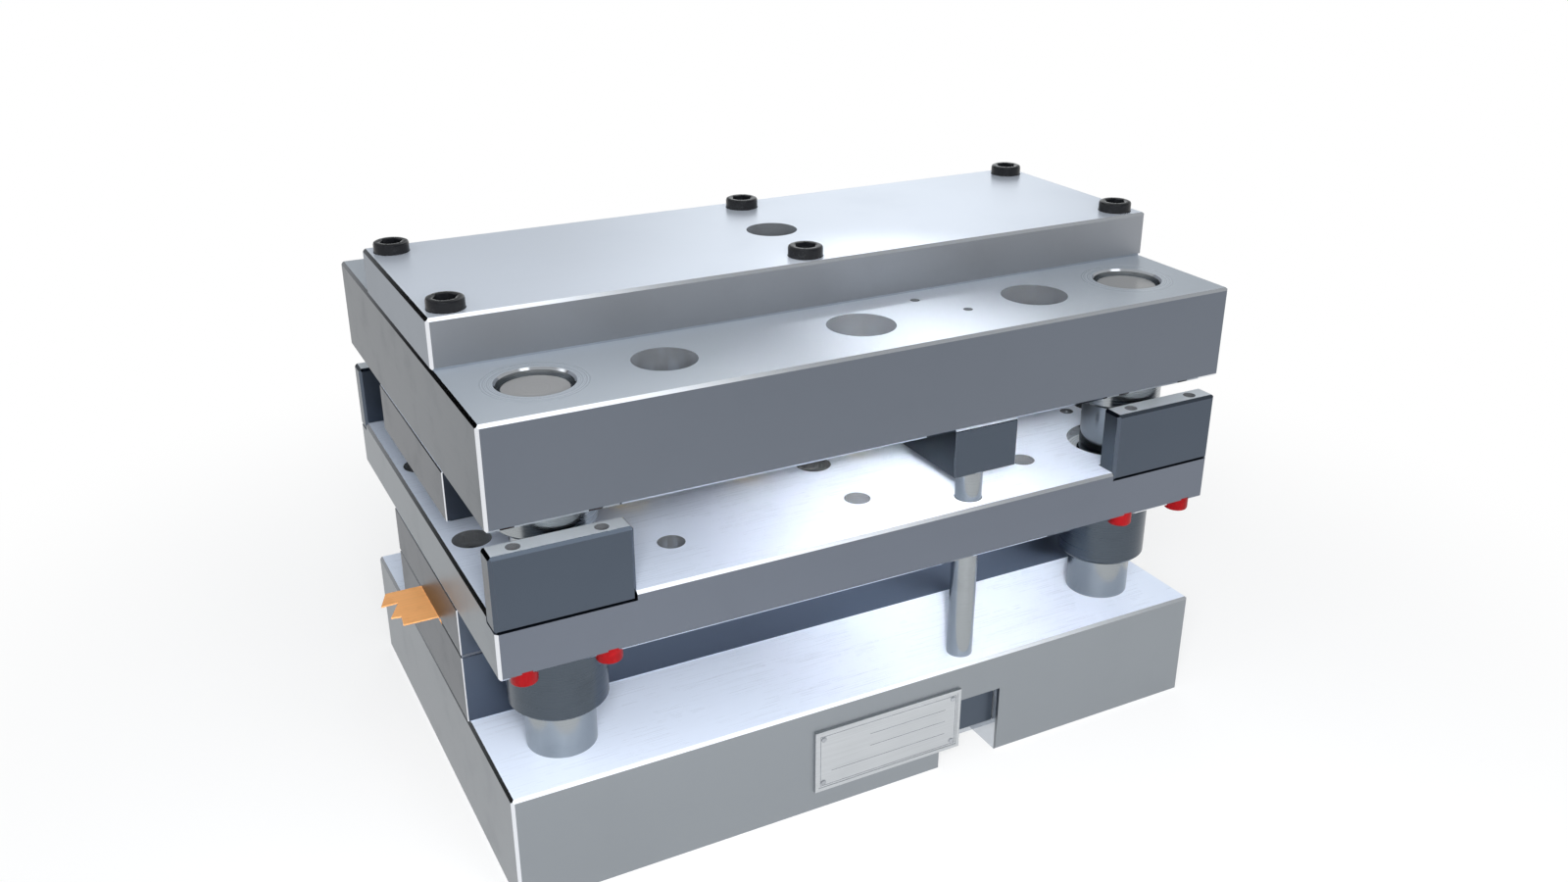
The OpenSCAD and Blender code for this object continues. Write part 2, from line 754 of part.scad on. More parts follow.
module strip_outline() {
  tip = -half_length - strip_overhang;
  torn = [for (t = tear) [tip + t[0], strip_y + t[1] * strip_w / 2]];
  polygon(concat(
    torn,
    [[strip_right, strip_y - strip_w / 2], [strip_right, strip_y + strip_w / 2]]
  ));
}

module strip() {
  color(copper)
    translate([0, 0, z_strip])
      linear_extrude(strip_t)
        difference() {
          strip_outline();
          for (k = [0 : strip_stations]) for (s = both)
            translate([pierce_x + k * pitch, strip_y + s * web_y]) circle(d = pierce_d);
          for (x = [centre_x, side_x])
            translate([x, strip_y]) circle(d = centre_d);
          for (p = side_sites)
            translate(p) circle(d = side_d);
          for (k = [0 : window_stations])
            translate([k * pitch, 0]) blank_outline(0);
        }
}

// Stripper

module stripper_plate() {
  color(steel_mid)
    difference() {
      translate([0, 0, z_stripper])
        chamfered_block(plate_length, shoe_depth, stripper_t, shoe_chamfer);
      for (c = corners)
        translate([c.x * (block_x + over / 2), c.y * (block_y + over / 2), z_block])
          translate([-(block_length + over) / 2, -(block_depth + over) / 2, 0])
            cube([block_length + over, block_depth + over, block_seat + over]);
      holes(post_sites, bush_od, z_stripper - over, z_stripper_top + over);
      holes(unit_sites, stud_hole_d, z_stripper - over, z_stripper_top + over);
      holes(sub_pin_site, sub_pin_d + 2 * sub_pin_clear, z_stripper - over, z_stripper_top + over);
      screw_cuts(package_sites, main_screw_d, insert_screw_z, z_stripper_top + over,
        z_stripper - over, head_clear);
      screw_cuts_below(block_screw_sites, block_screw_d, block_screw_z, z_stripper - over,
        z_block + over, shank_clear);
      holes(dowel_sites, dowel_d, z_stripper - over, z_stripper_top + over);
      holes(hanger_sites, hanger_thread_d, z_stripper_top - hanger_thread, z_stripper_top + over);
      punch_passages(pierce_sites, pierce_d);
      punch_passages(centre_sites, centre_d);
      punch_passages(side_sites, side_d);
      punch_passages(pilot_sites, pierce_d);
      blank_cut(punch_clear, z_stripper - over, z_stripper_top + over);
    }
}

module stripper_insert() {
  color(steel_mid)
    difference() {
      translate([0, 0, z_insert])
        chamfered_block(plate_length, package_depth, insert_t, package_chamfer);
      holes(package_sites, main_screw_d, z_stripper - package_thread, z_stripper + over);
      holes(dowel_sites, dowel_d, z_stripper - dowel_grip, z_stripper + over);
      holes(pierce_sites, pierce_d + 2 * punch_fit, z_insert - over, z_stripper + over);
      holes(centre_sites, centre_d + 2 * punch_fit, z_insert - over, z_stripper + over);
      holes(side_sites, side_d + 2 * punch_fit, z_insert - over, z_stripper + over);
      holes(pilot_sites, pierce_d, z_insert - over, z_stripper + over);
      holes(guide_pin_sites, guide_pin_d + 2 * guide_pin_relief, z_insert - over,
        z_strip + guide_pin_proud + guide_pin_relief);
      blank_cut(punch_fit, z_insert - over, z_stripper + over);
      holes(post_sites, bush_relief_d, z_insert - over, z_stripper + over);
    }
}

module stripper_bush(sx, sy) {
  low = z_stripper - stripper_bush_drop;
  high = z_stripper_top - stripper_bush_recess;
  color(steel_dark)
    translate([sx * post_x, sy * post_y, low])
      bush(bush_od, post_d + 2 * guide_fit, high - low, guide_chamfer);
}

module stop_block(sx, sy) {
  sites = [for (s = both) [sx * block_x + s * block_screw_dx, sy * block_y]];
  color(steel_dark)
    difference() {
      translate([sx * block_x, sy * block_y, z_block])
        chamfered_block(block_length, block_depth, block_h, shoe_chamfer);
      holes(sites, block_screw_d, z_block - over, z_block + block_screw_grip);
      holes(sites, block_tap_d, z_block, z_block + block_h + over);
      holes([[sx * post_x, sy * post_y]], bush_relief_d, z_block - over, z_block + block_h + over);
    }
}

module hanger_bolts() {
  bevel = head_bevel_share * hanger_d;
  color(black)
    for (p = hanger_sites)
      translate([p.x, p.y, z_stripper_top])
        difference() {
          rise = hanger_seat - z_stripper_top;
          rotate_extrude()
            polygon([
              [0, -hanger_thread], [hanger_thread_d / 2, -hanger_thread], [hanger_thread_d / 2, 0],
              [hanger_d / 2, 0], [hanger_d / 2, rise], [hanger_head_d / 2, rise],
              [hanger_head_d / 2, rise + hanger_head_h - bevel],
              [hanger_head_d / 2 - bevel, rise + hanger_head_h], [0, rise + hanger_head_h]
            ]);
          translate([0, 0, rise + hanger_head_h * (1 - socket_depth_share)])
            cylinder(d = socket_af(hanger_thread_d) / cos(30), h = hanger_head_h, $fn = 6);
        }
}

module die_springs() {
  color(spring_colour)
    for (p = spring_sites)
      translate([p.x, p.y, z_stripper_top]) spring(spring_length);
}

// Upper die

module upper_shoe() {
  color(steel_mid)
    difference() {
      translate([0, 0, z_upper])
        chamfered_block(plate_length, shoe_depth, upper_shoe_t, shoe_chamfer);
      holes(post_sites, bush_od, z_upper - over, z_upper_top + over);
      holes(other_unit_sites, unit_hole_d, z_upper - over, z_upper_top + over);
      holes(left_unit_sites, left_hole_d, z_upper - over, z_upper_top + over);
      holes(clamp_screw_sites, main_screw_d, z_upper_top - clamp_thread, z_upper_top + over);
      screw_cuts(punch_screw_sites, punch_screw_d, punch_screw_z, z_upper_top + over,
        z_upper - over, head_clear);
      holes(punch_dowel_sites, dowel_d, z_upper - over, z_upper + dowel_grip);
      holes(spring_sites, spring_hole_d, z_upper - over, z_upper + spring_pocket);
      holes(hanger_sites, hanger_d + 2 * hanger_clear, z_upper - over, hanger_seat + over);
      holes(hanger_sites, hanger_head_d + 2 * hanger_clear, hanger_seat, z_upper_top + over);
      holes(sub_pin_site, sub_pin_d + 2 * sub_pin_clear, z_upper - over,
        max(sub_pin_top, z_upper) + press_stroke + sub_pin_room);
      holes(sub_screw_sites, small_screw_d, z_upper - over, z_upper + sub_screw_grip);
      holes(sub_dowel_sites, sub_dowel_d, z_upper - over, z_upper_top + over);
    }
}

module clamp_plate() {
  color(steel_light)
    difference() {
      translate([0, 0, z_upper_top])
        chamfered_block(plate_length, clamp_depth, clamp_plate_t, shoe_chamfer);
      screw_cuts(clamp_screw_sites, main_screw_d, clamp_screw_z, z_clamp_top + over,
        z_upper_top - over, clamp_head_clear);
      holes([[0, 0]], centre_hole_d, z_upper_top - over, z_clamp_top + over);
    }
}

module upper_bush(sx, sy) {
  color(steel_bright)
    translate([sx * post_x, sy * post_y, z_upper - upper_bush_drop])
      bush(bush_od, post_d + 2 * guide_fit, upper_shoe_t + upper_bush_drop, guide_chamfer);
}

module punch_plate() {
  color(steel_mid)
    difference() {
      translate([0, 0, z_punch_plate])
        chamfered_block(plate_length, package_depth, punch_plate_t, package_chamfer);
      punch_bores(pierce_sites, pierce_d);
      punch_bores(centre_sites, centre_d);
      punch_bores(side_sites, side_d);
      punch_bores(pilot_sites, pierce_d);
      blank_cut(0, z_punch_plate - over, z_upper);
      blank_cut(blanking_flange, z_upper - punch_head_h, z_upper + over);
      holes(spring_sites, spring_hole_d, z_punch_plate - over, z_upper + over);
      holes(hanger_sites, hanger_d + 2 * hanger_clear, z_punch_plate - over, z_upper + over);
      holes(punch_screw_sites, punch_screw_d, z_upper - punch_screw_grip, z_upper + over);
      holes(punch_dowel_sites, dowel_d, z_upper - dowel_grip, z_upper + over);
      holes(post_sites, bush_relief_d, z_punch_plate - over, z_upper + over);
    }
}

module punches(sites, d) {
  color(steel_bright)
    for (p = sites) translate([p.x, p.y, 0]) round_punch(d);
}

module blanking_punch() {
  color(steel_bright) {
    blank_cut(0, z_insert + punch_lift, z_upper);
    blank_cut(blanking_flange, z_upper - punch_head_h, z_upper);
  }
}

module pilots() {
  color(steel_bright)
    for (p = pilot_sites) translate([p.x, p.y, 0]) pilot();
}

module sub_guide_block() {
  color(steel_dark)
    difference() {
      translate([sub_pin_x, front + sub_block_l / 2, sub_block_z])
        chamfered_block(sub_block_w, sub_block_l, sub_block_h, package_chamfer);
      holes(sub_pin_site, sub_pin_d + 2 * sub_pin_running, sub_block_z - over, z_upper + over);
      screw_cuts_below(sub_screw_sites, small_screw_d, sub_screw_z, sub_block_z - over,
        z_upper + over, shank_clear);
      holes(sub_dowel_sites, sub_dowel_d, sub_block_z + sub_dowel_seat, z_upper + over);
    }
}

lower_shoe();
die_plate();
blanking_die();
die_buttons(pierce_sites, pierce_d);  // pierce_die_buttons
die_buttons(centre_sites, centre_d);  // centre_die_button
die_buttons(side_sites, side_d);  // side_die_buttons
stock_guide_pins();
screws(package_sites, main_screw_d, die_screw_z, die_screw_z - z_die + package_thread);  // die_plate_screws
dowels(dowel_sites, dowel_d, z_die - dowel_grip, z_strip - dowel_recess);  // die_plate_dowels
guide_post(-1, -1);  // guide_post_front_left
guide_post(1, -1);  // guide_post_front_right
guide_post(-1, 1);  // guide_post_back_left
guide_post(1, 1);  // guide_post_back_right
sub_guide_pin();
anchor_block();
screws(anchor_screw_sites, small_screw_d, anchor_screw_z,  // anchor_screws
    notch_h - anchor_screw_z + anchor_screw_grip, true);
name_plate();
name_plate_rivets();
strip();
stripper_plate();
stripper_insert();
screws(package_sites, main_screw_d, insert_screw_z, insert_screw_z - z_stripper + package_thread);  // insert_screws
dowels(dowel_sites, dowel_d, z_stripper - dowel_grip, z_stripper_top - dowel_recess);  // insert_dowels
stripper_bush(-1, -1);  // stripper_bush_front_left
stripper_bush(1, -1);  // stripper_bush_front_right
stripper_bush(-1, 1);  // stripper_bush_back_left
stripper_bush(1, 1);  // stripper_bush_back_right
stop_block(-1, -1);  // stop_block_front_left
stop_block(1, -1);  // stop_block_front_right
stop_block(-1, 1);  // stop_block_back_left
stop_block(1, 1);  // stop_block_back_right
color(red) cap_screws(block_screw_sites, block_screw_d, block_screw_z,  // stop_block_screws
    z_block - block_screw_z + block_screw_grip, true);
hanger_bolts();
die_springs();
upper_shoe();
clamp_plate();
screws(clamp_screw_sites, main_screw_d, clamp_screw_z, clamp_screw_z - z_upper_top + clamp_thread);  // clamp_screws
upper_bush(-1, -1);  // upper_bush_front_left
upper_bush(1, -1);  // upper_bush_front_right
upper_bush(-1, 1);  // upper_bush_back_left
upper_bush(1, 1);  // upper_bush_back_right
punch_plate();
screws(punch_screw_sites, punch_screw_d, punch_screw_z, punch_screw_z - z_upper + punch_screw_grip);  // punch_plate_screws
dowels(punch_dowel_sites, dowel_d, z_upper - dowel_grip, z_upper + dowel_grip);  // punch_plate_dowels
punches(pierce_sites, pierce_d);  // pierce_punches
punches(centre_sites, centre_d);  // centre_punch
punches(side_sites, side_d);  // side_punches
blanking_punch();
pilots();
sub_guide_block();
screws(sub_screw_sites, small_screw_d, sub_screw_z, z_upper - sub_screw_z + sub_screw_grip, true);  // sub_guide_screws
dowels(sub_dowel_sites, sub_dowel_d, sub_block_z + sub_dowel_seat, z_upper_top - sub_dowel_recess);  // sub_guide_dowels
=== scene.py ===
"""Looks of a progressive die: steel plates, guide posts, screws, springs and a studio around them."""
import math

import bmesh
import bpy
from bpy.props import FloatProperty, FloatVectorProperty, IntProperty, PointerProperty
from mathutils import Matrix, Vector


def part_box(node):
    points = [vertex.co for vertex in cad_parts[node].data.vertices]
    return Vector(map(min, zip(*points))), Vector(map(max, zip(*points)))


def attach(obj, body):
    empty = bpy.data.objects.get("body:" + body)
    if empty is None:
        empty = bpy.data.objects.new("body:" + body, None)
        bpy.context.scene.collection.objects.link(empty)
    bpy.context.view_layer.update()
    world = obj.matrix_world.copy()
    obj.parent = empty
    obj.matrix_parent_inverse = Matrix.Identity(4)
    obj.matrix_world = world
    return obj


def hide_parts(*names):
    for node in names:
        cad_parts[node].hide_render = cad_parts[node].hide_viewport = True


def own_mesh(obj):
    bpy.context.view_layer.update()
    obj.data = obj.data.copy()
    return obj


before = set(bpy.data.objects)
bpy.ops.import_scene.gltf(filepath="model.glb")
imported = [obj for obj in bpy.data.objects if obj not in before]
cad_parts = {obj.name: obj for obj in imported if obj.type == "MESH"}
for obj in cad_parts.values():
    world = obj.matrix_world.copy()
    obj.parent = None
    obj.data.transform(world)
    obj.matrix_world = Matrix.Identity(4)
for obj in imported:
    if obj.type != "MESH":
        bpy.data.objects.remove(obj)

bl_info = {
    "name": "Progressive die",
    "version": (1, 0, 0),
    "blender": (4, 5, 0),
    "location": "3D View > Sidebar > Die",
    "description": "Finishes the plates, guides, screws, springs and strip of a progressive die",
    "category": "Object",
}

MM = 0.001
MICRON = 0.000001
CORNERS = ("front_left", "front_right", "back_left", "back_right")
LOWER_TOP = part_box("lower_shoe")[1]
POST_LOW, POST_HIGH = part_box("guide_post_back_right")
POST_PLACE = (POST_LOW + POST_HIGH) / 2

# Where the masks of the faces begin and end, by the part of the normal along an axis; the top and slant
# masks place the painted lit tops and the painted edge highlights
ALONG_AXIS = (0.6, 0.8)
LIT_TOP = (0.90, 0.97)
UPRIGHT_WALL = (0.1, 0.05)
SLANTED = (0.86, 0.78)
TURNED_TOP = (0.84, 0.92)
TURNED_SLANT = (0.4, 0.55)

# Depth under a plate's top and distance from its sides over which a mask fades
UNDER_TOP = (0.7 * MM, 0.3 * MM)
PAST_CHAMFER = (1.8 * MM, 2.2 * MM)

# The part of a noise's range that counts
MOST_NOISE = (0.3, 0.7)
WIDE_NOISE = (0.25, 0.75)
WORN_NOISE = (0.48, 0.72)

# Roughness that lines and wear add, that of polished faces, and how a fine tint varies
LINE_ROUGHNESS = 0.06
WORN_ROUGHNESS = 0.04
POLISHED = 0.08
FINE_TINT = (0.95, 1.04)

# How metallic bores, the upward faces of turned parts and rolled copper are
BORE_METAL = 0.84
TURNED_TOP_METAL = 0.4
COPPER_METAL = (0.05, 0.15)

# Doubles nearer than this are one point, and faces past this angle meet in a sharp edge
SAME_POINT = 0.01 * MM
SHARP_ANGLE = math.radians(32)

# Shares of a screw: its softened edge for the rounded one, and the socket's mouth for its flats
SOFT_EDGE = 0.3
SOCKET_MOUTH = 1.2

# A rivet's crown: steps of its curve, and the share of its height that stands upright
CROWN_STEPS = 6
CROWN_RIM = 0.35

# Points along one turn of a spring
SPRING_STEPS = 36

# How nodes are laid out in their tree, and a Mix node's sockets: the factor, then the two
# values or the two colours
NODES_A_ROW = 20
NODE_WIDTH = 190
NODE_HEIGHT = 260
MIX_VALUES = (0, 2, 3)
MIX_COLOURS = (0, 6, 7)
MIXED_COLOUR = 2

# Printed rows of the name plate: start, stop and level as shares of the printed field
PRINTED_ROWS = ((0, 1, 0), (0, 1, 1), (0.08, 0.92, 0.26), (0.36, 0.92, 0.52), (0.36, 0.92, 0.76))

# Soft windows of the studio: heading, elevation, half width, softness and half height in
# degrees, then the strength, where the last one takes light away
WINDOWS = (
    (31, 27, 4, 10, 28, 0.8),
    (-78, 32, 20, 12, 22, 0.9),
    (152, 58, 10, 16, 30, 1.2),
    (-150, 30, 22, 14, 22, 0.7),
    (-28, 20, 16, 8, 20, -0.6),
)

# Elevations between which the bright horizon fades, and distances over which the shadow does
HORIZON = (math.radians(7), math.radians(13))
SHADOW_FADES = (0.25, 0.65)
STUDIO_TINT = (0.95, 0.98, 1.0)

# Lamps: place, size, power in watts, aim and spread in degrees
WIDE = 180
DIE_MIDDLE = (0.0, -0.05, 0.15)
LAMPS = {
    "lamp_front": ((-0.30, -0.66, 0.50), (0.3, 0.2), 5.6, DIE_MIDDLE, WIDE),
    "lamp_middle": ((-0.05, -0.62, 0.46), (0.2, 0.2), 1, DIE_MIDDLE, WIDE),
    "lamp_above": ((-0.2, -0.3, 1.9), (2.4, 2.4), 2, DIE_MIDDLE, WIDE),
    "lamp_back": ((0.2, 2.0, 0.55), (3.0, 0.7), 6, DIE_MIDDLE, WIDE),
    "lamp_gridded": ((-0.30, -0.66, 0.50), (0.06, 0.06), 0.22, (0.04, -0.1, 0.16), 19),
    "lamp_ledge": ((0.025, 0.2, 0.75), (0.03, 0.03), 0.05, (0.025, -0.115, 0.253), 14),
}


def colour(name, text, value):
    """A colour in linear red, green and blue."""
    return FloatVectorProperty(
        name=name, description=text, subtype="COLOR", size=3, min=0, max=1, default=value
    )


def distance(name, text, value):
    """A length in metres."""
    return FloatProperty(name=name, description=text, unit="LENGTH", min=0, default=value)


def share(name, text, value):
    """A share from 0 to 1."""
    return FloatProperty(name=name, description=text, subtype="FACTOR", min=0, max=1, default=value)


class DieFinish(bpy.types.PropertyGroup):
    """Colours of the die's pieces. The top, side, end and chamfer tones are painted light: pale lit tops,
    shaded sides and ends, and edge highlights
    """

    # Painted light: tops are painted pale and cool, as if lit from above and reflecting the sky, and sides
    # and ends each get the painted shade of the way they face
    clamp_top: colour("Clamp plate top", "Ground top of the clamp plate", (0.687, 0.743, 0.836))
    clamp_side: colour("Clamp plate sides", "Sides of the clamp plate", (0.39, 0.405, 0.435))
    clamp_end: colour("Clamp plate ends", "Ends of the clamp plate", (0.34, 0.365, 0.4))
    upper_top: colour("Upper shoe top", "Ground top of the upper shoe", (0.43, 0.475, 0.53))
    upper_side: colour("Upper shoe sides", "Sides of the upper shoe", (0.172, 0.193, 0.229))
    upper_end: colour("Upper shoe ends", "Ends of the upper shoe", (0.109, 0.123, 0.139))
    stripper_top: colour("Stripper top", "Ground top of the stripper plate", (0.63, 0.7, 0.83))
    stripper_side: colour("Stripper sides", "Sides of the stripper plate", (0.181, 0.202, 0.243))
    stripper_end: colour("Stripper ends", "Ends of the stripper plate", (0.214, 0.236, 0.256))
    lower_top: colour("Lower shoe top", "Ground top of the lower shoe", (0.739, 0.818, 0.963))
    lower_side: colour("Lower shoe sides", "Sides of the lower shoe", (0.306, 0.329, 0.353))
    lower_end: colour("Lower shoe ends", "Ends of the lower shoe", (0.225, 0.243, 0.262))
    package_side: colour("Package sides", "Sides of the plates between the shoes", (0.111, 0.132, 0.17))
    package_end: colour("Package ends", "Ends of the plates between the shoes", (0.087, 0.096, 0.111))
    # Painted highlight: chamfers are painted pale, so every edge shows a bright line
    edge: colour("Chamfers", "Ground chamfers of the plates", (0.78, 0.8, 0.84))
    bore: colour("Bores", "Bored and reamed walls", (0.55, 0.58, 0.62))
    # Painted light: block tops are painted pale as if lit, and their sides and ends darker as painted
    # shade
    block: colour("Blocks", "Stop blocks, anchor block and sub-guide block", (0.091, 0.111, 0.142))
    block_top: colour("Block tops", "Ground tops of these blocks", (0.6, 0.65, 0.7))
    block_end: colour("Block ends", "Ends of these blocks", (0.12, 0.14, 0.16))
    # Painted shade: the sub-guide block's ends are painted near black
    guide_block_shaded_end: colour("Sub-guide block ends", "Ends of the sub-guide block", (0.04, 0.05, 0.06))
    bush: colour("Stripper bushes", "Hardened bushes of the stripper", (0.087, 0.105, 0.127))
    post: colour("Guide posts", "Posts, pins and upper bushes", (0.331, 0.354, 0.368))
    # Painted light: the tops of the posts are painted a little paler, as if lit from above
    post_top: colour("Post tops", "Ends of the guide posts", (0.38, 0.38, 0.38))
    tool: colour("Punches and dies", "Ground tool steel", (0.60, 0.62, 0.65))
    copper: colour("Strip", "Rolled copper alloy", (0.977, 0.473, 0.177))
    red: colour("Stop block screws", "Red enamel", (0.211, 0.002, 0.004))
    black: colour("Screws", "Black oxide", (0.006, 0.0065, 0.008))
    spring: colour("Springs", "Yellow enamel", (0.72, 0.46, 0.03))
    tag: colour("Name plate", "Satin name plate", (0.57, 0.59, 0.61))
    tag_line: colour("Name plate lines", "Printed rules of the name plate", (0.16, 0.17, 0.19))
    rivet: colour("Rivets", "Rivets of the name plate", (0.45, 0.47, 0.50))


class DieFasteners(bpy.types.PropertyGroup):
    """Sizes of the screws, rivets and springs that the frame does not give"""

    head_share: FloatProperty(
        name="Head share", description="Head of a large screw for its thread", min=1, default=1.5
    )
    small_head_extra: distance("Small head extra", "Added to the head of a small screw", 1 * MM)
    large_head: distance("Large head", "Smallest head that has no such addition", 17.5 * MM)
    head_edge: share("Head edge", "Rounded edge of a head, as a share of the thread", 0.1)
    socket_flats: share("Socket flats", "Key size as a share of the thread", 0.83)
    socket_depth: share("Socket depth", "Depth of the socket as a share of the thread", 0.5)
    rivet_neck: share("Rivet neck", "Neck of a rivet as a share of its head", 0.667)
    rivet_head: distance("Rivet head", "Height of a rivet's head", 0.7 * MM)
    wire_width: distance("Spring wire width", "Radial size of the spring wire", 5 * MM)
    wire_height: distance("Spring wire height", "Height of the spring wire", 3 * MM)
    wire_round: distance("Spring wire corners", "Corner radius of the spring wire", 0.8 * MM)
    spring_turns: IntProperty(name="Spring turns", description="Turns of a spring", min=3, default=6)
    spring_flat: share("Flat turns", "Part of a turn that lies flat at each end", 0.6)
    segments: IntProperty(name="Segments", description="Facets round a screw", min=12, default=48)


class DieStage(bpy.types.PropertyGroup):
    """Camera, floor and light"""

    camera_place: FloatVectorProperty(
        name="Camera place", description="Where the camera stands", unit="LENGTH", size=3,
        default=(-0.33459, -0.65697, 0.47533),
    )
    camera_turn: FloatVectorProperty(
        name="Camera turn", description="How the camera is turned", subtype="EULER", size=3,
        default=(math.radians(66.373), 0, math.radians(-27.511)),
    )
    lens: FloatProperty(
        name="Lens", description="Focal length on a 36 mm sensor", unit="CAMERA", default=31.96
    )
    floor_size: distance("Floor size", "Width of the floor", 14)
    floor_colour: colour("Floor", "Pale floor", (0.86, 0.87, 0.88))
    floor_shadow: share("Floor shadow", "How strongly the floor shows the shadow", 0.35)
    dim: share("Dim level", "Light of the studio between its windows", 0.42)


def settings():
    """The three groups of settings."""
    scene = bpy.context.scene
    return scene.die_finish, scene.die_fasteners, scene.die_stage


# Node trees


class Wires:
    """Puts nodes into one tree and joins them."""

    def __init__(self, tree):
        self.tree = tree

    def put(self, kind, feeds=None, **settings_of_node):
        """Adds a node, sets what it is told and feeds its inputs."""
        node = self.tree.nodes.new(kind)
        row, place = divmod(len(self.tree.nodes), NODES_A_ROW)
        node.location = (place * NODE_WIDTH, -row * NODE_HEIGHT)
        for key, value in settings_of_node.items():
            setattr(node, key, value)
        for key, value in (feeds or {}).items():
            self.feed(node.inputs[key], value)
        return node

    def feed(self, socket, value):
        """Joins a socket to an output, or sets it to a plain value."""
        if isinstance(value, bpy.types.NodeSocket):
            self.tree.links.new(value, socket)
        else:
            socket.default_value = value

    def math(self, operation, *values, clamp=False):
        """One Math node and its result."""
        node = self.put("ShaderNodeMath", operation=operation, use_clamp=clamp)
        for socket, value in zip(node.inputs, values):
            self.feed(socket, value)
        return node.outputs[0]

    def plus(self, first, second):
        """The sum of two values."""
        return self.math("ADD", first, second)

    def minus(self, first, second):
        """The first value less the second."""
        return self.math("SUBTRACT", first, second)

    def times(self, first, second):
        """The product of two values."""
        return self.math("MULTIPLY", first, second)

    def step(self, value, low, high, out_low=0.0, out_high=1.0):
        """A smooth step of a value from low to high."""
        node = self.put(
            "ShaderNodeMapRange",
            {"Value": value, "From Min": low, "From Max": high, "To Min": out_low, "To Max": out_high},
            interpolation_type="SMOOTHSTEP",
        )
        return node.outputs["Result"]

    def vary(self, noise, low, high):
        """A value from low to high that follows a noise."""
        return self.step(noise, *MOST_NOISE, low, high)

    def half(self, value):
        """Half of a value."""
        return self.math("DIVIDE", value, 2.0)

    def combine(self, x, y, z):
        """A vector of three values."""
        return self.put("ShaderNodeCombineXYZ", {"X": x, "Y": y, "Z": z}).outputs[0]

    def blend(self, mask, first, second):
        """A colour between two, by a mask."""
        node = self.put("ShaderNodeMix", data_type="RGBA")
        for index, value in zip(MIX_COLOURS, (mask, first, second)):
            self.feed(node.inputs[index], rgba(value) if isinstance(value, tuple) else value)
        return node.outputs[MIXED_COLOUR]

    def blend_value(self, mask, first, second):
        """A value between two, by a mask."""
        node = self.put("ShaderNodeMix", data_type="FLOAT")
        for index, value in zip(MIX_VALUES, (mask, first, second)):
            self.feed(node.inputs[index], value)
        return node.outputs[0]

    def tint(self, colour_in, amount):
        """A colour times a value."""
        return self.put(
            "ShaderNodeVectorMath", {0: colour_in, "Scale": amount}, operation="SCALE"
        ).outputs[0]


def rgba(value):
    """A colour with its alpha."""
    return (*tuple(value)[:3], 1.0)


def wires_of(block):
    """Wires in the emptied node tree of a material or a world."""
    block.use_nodes = True
    block.node_tree.nodes.clear()
    return Wires(block.node_tree)


def add_object(name, data):
    """A new object in the scene."""
    made = bpy.data.objects.new(name, data)
    bpy.context.scene.collection.objects.link(made)
    return made


def group(name, inputs, outputs, fill):
    """A shader node group with named inputs and outputs, built once."""
    tree = bpy.data.node_groups.new(name, "ShaderNodeTree")
    for label, default in inputs.items():
        socket = tree.interface.new_socket(label, in_out="INPUT", socket_type="NodeSocketFloat")
        socket.default_value = default
    for label in outputs:
        tree.interface.new_socket(label, in_out="OUTPUT", socket_type="NodeSocketFloat")
    wires = Wires(tree)
    source = wires.put("NodeGroupInput")
    results = fill(wires, source.outputs)
    target = wires.put("NodeGroupOutput")
    for label, value in results.items():
        wires.feed(target.inputs[label], value)
    return tree


def place_and_normal(wires):
    """Place and normal of a surface point, each split into X, Y and Z."""
    coordinates = wires.put("ShaderNodeTexCoord")
    place = wires.put("ShaderNodeSeparateXYZ", {0: coordinates.outputs["Object"]}).outputs
    normal = wires.put("ShaderNodeSeparateXYZ", {0: coordinates.outputs["Normal"]}).outputs
    return place, normal


def fill_plate_faces(wires, given):
    """Masks of the top, ends, bored walls and chamfers of a block that may have mirrored twins; they place
    its painted lit top, its shaded sides and ends, and its painted edge highlights.
    """
    place, normal = place_and_normal(wires)
    across = wires.math("ABSOLUTE", normal[0])
    deep = wires.math("ABSOLUTE", normal[1])
    upright = wires.math("ABSOLUTE", normal[2])
    sunk = wires.minus(given["Top Level"], place[2])
    top = wires.times(wires.step(normal[2], *LIT_TOP), wires.step(sunk, *UNDER_TOP))
    end = wires.step(across, *ALONG_AXIS)
    insets = []
    for axis, middle, half in ((0, "Middle X", "Half Length"), (1, "Middle Y", "Half Depth")):
        away = wires.minus(wires.math("ABSOLUTE", place[axis]), given[middle])
        insets.append(wires.minus(given[half], wires.math("ABSOLUTE", away)))
    inside = wires.step(wires.math("MINIMUM", *insets), *PAST_CHAMFER)
    wall = wires.times(inside, wires.step(upright, *UPRIGHT_WALL))
    largest = wires.math("MAXIMUM", across, wires.math("MAXIMUM", deep, upright))
    slanted = wires.step(largest, *SLANTED)
    edge = wires.times(slanted, wires.minus(1.0, wall))
    return {"Top": top, "End": end, "Wall": wall, "Edge": edge}


def fill_ground_grain(wires, given):
    """Fine lines of surface grinding along X, or along Y on end faces, and slow clouds."""
    place, normal = place_and_normal(wires)
    end = wires.step(wires.math("ABSOLUTE", normal[0]), *ALONG_AXIS)
    long_x = wires.blend_value(end, given["Along"], given["Across"])
    long_y = wires.blend_value(end, given["Across"], given["Along"])
    stretched = wires.combine(
        wires.times(place[0], long_x),
        wires.times(place[1], long_y),
        wires.times(place[2], given["Across"]),
    )
    lines = wires.put(
        "ShaderNodeTexNoise", {"Vector": stretched, "Scale": 1.0, "Detail": 3.0, "Roughness": 0.6}
    ).outputs[0]
    whole = wires.combine(place[0], place[1], place[2])
    clouds = wires.put(
        "ShaderNodeTexNoise", {"Vector": whole, "Scale": given["Clouds"], "Detail": 2.0}
    ).outputs[0]
    return {"Lines": lines, "Clouds": clouds}


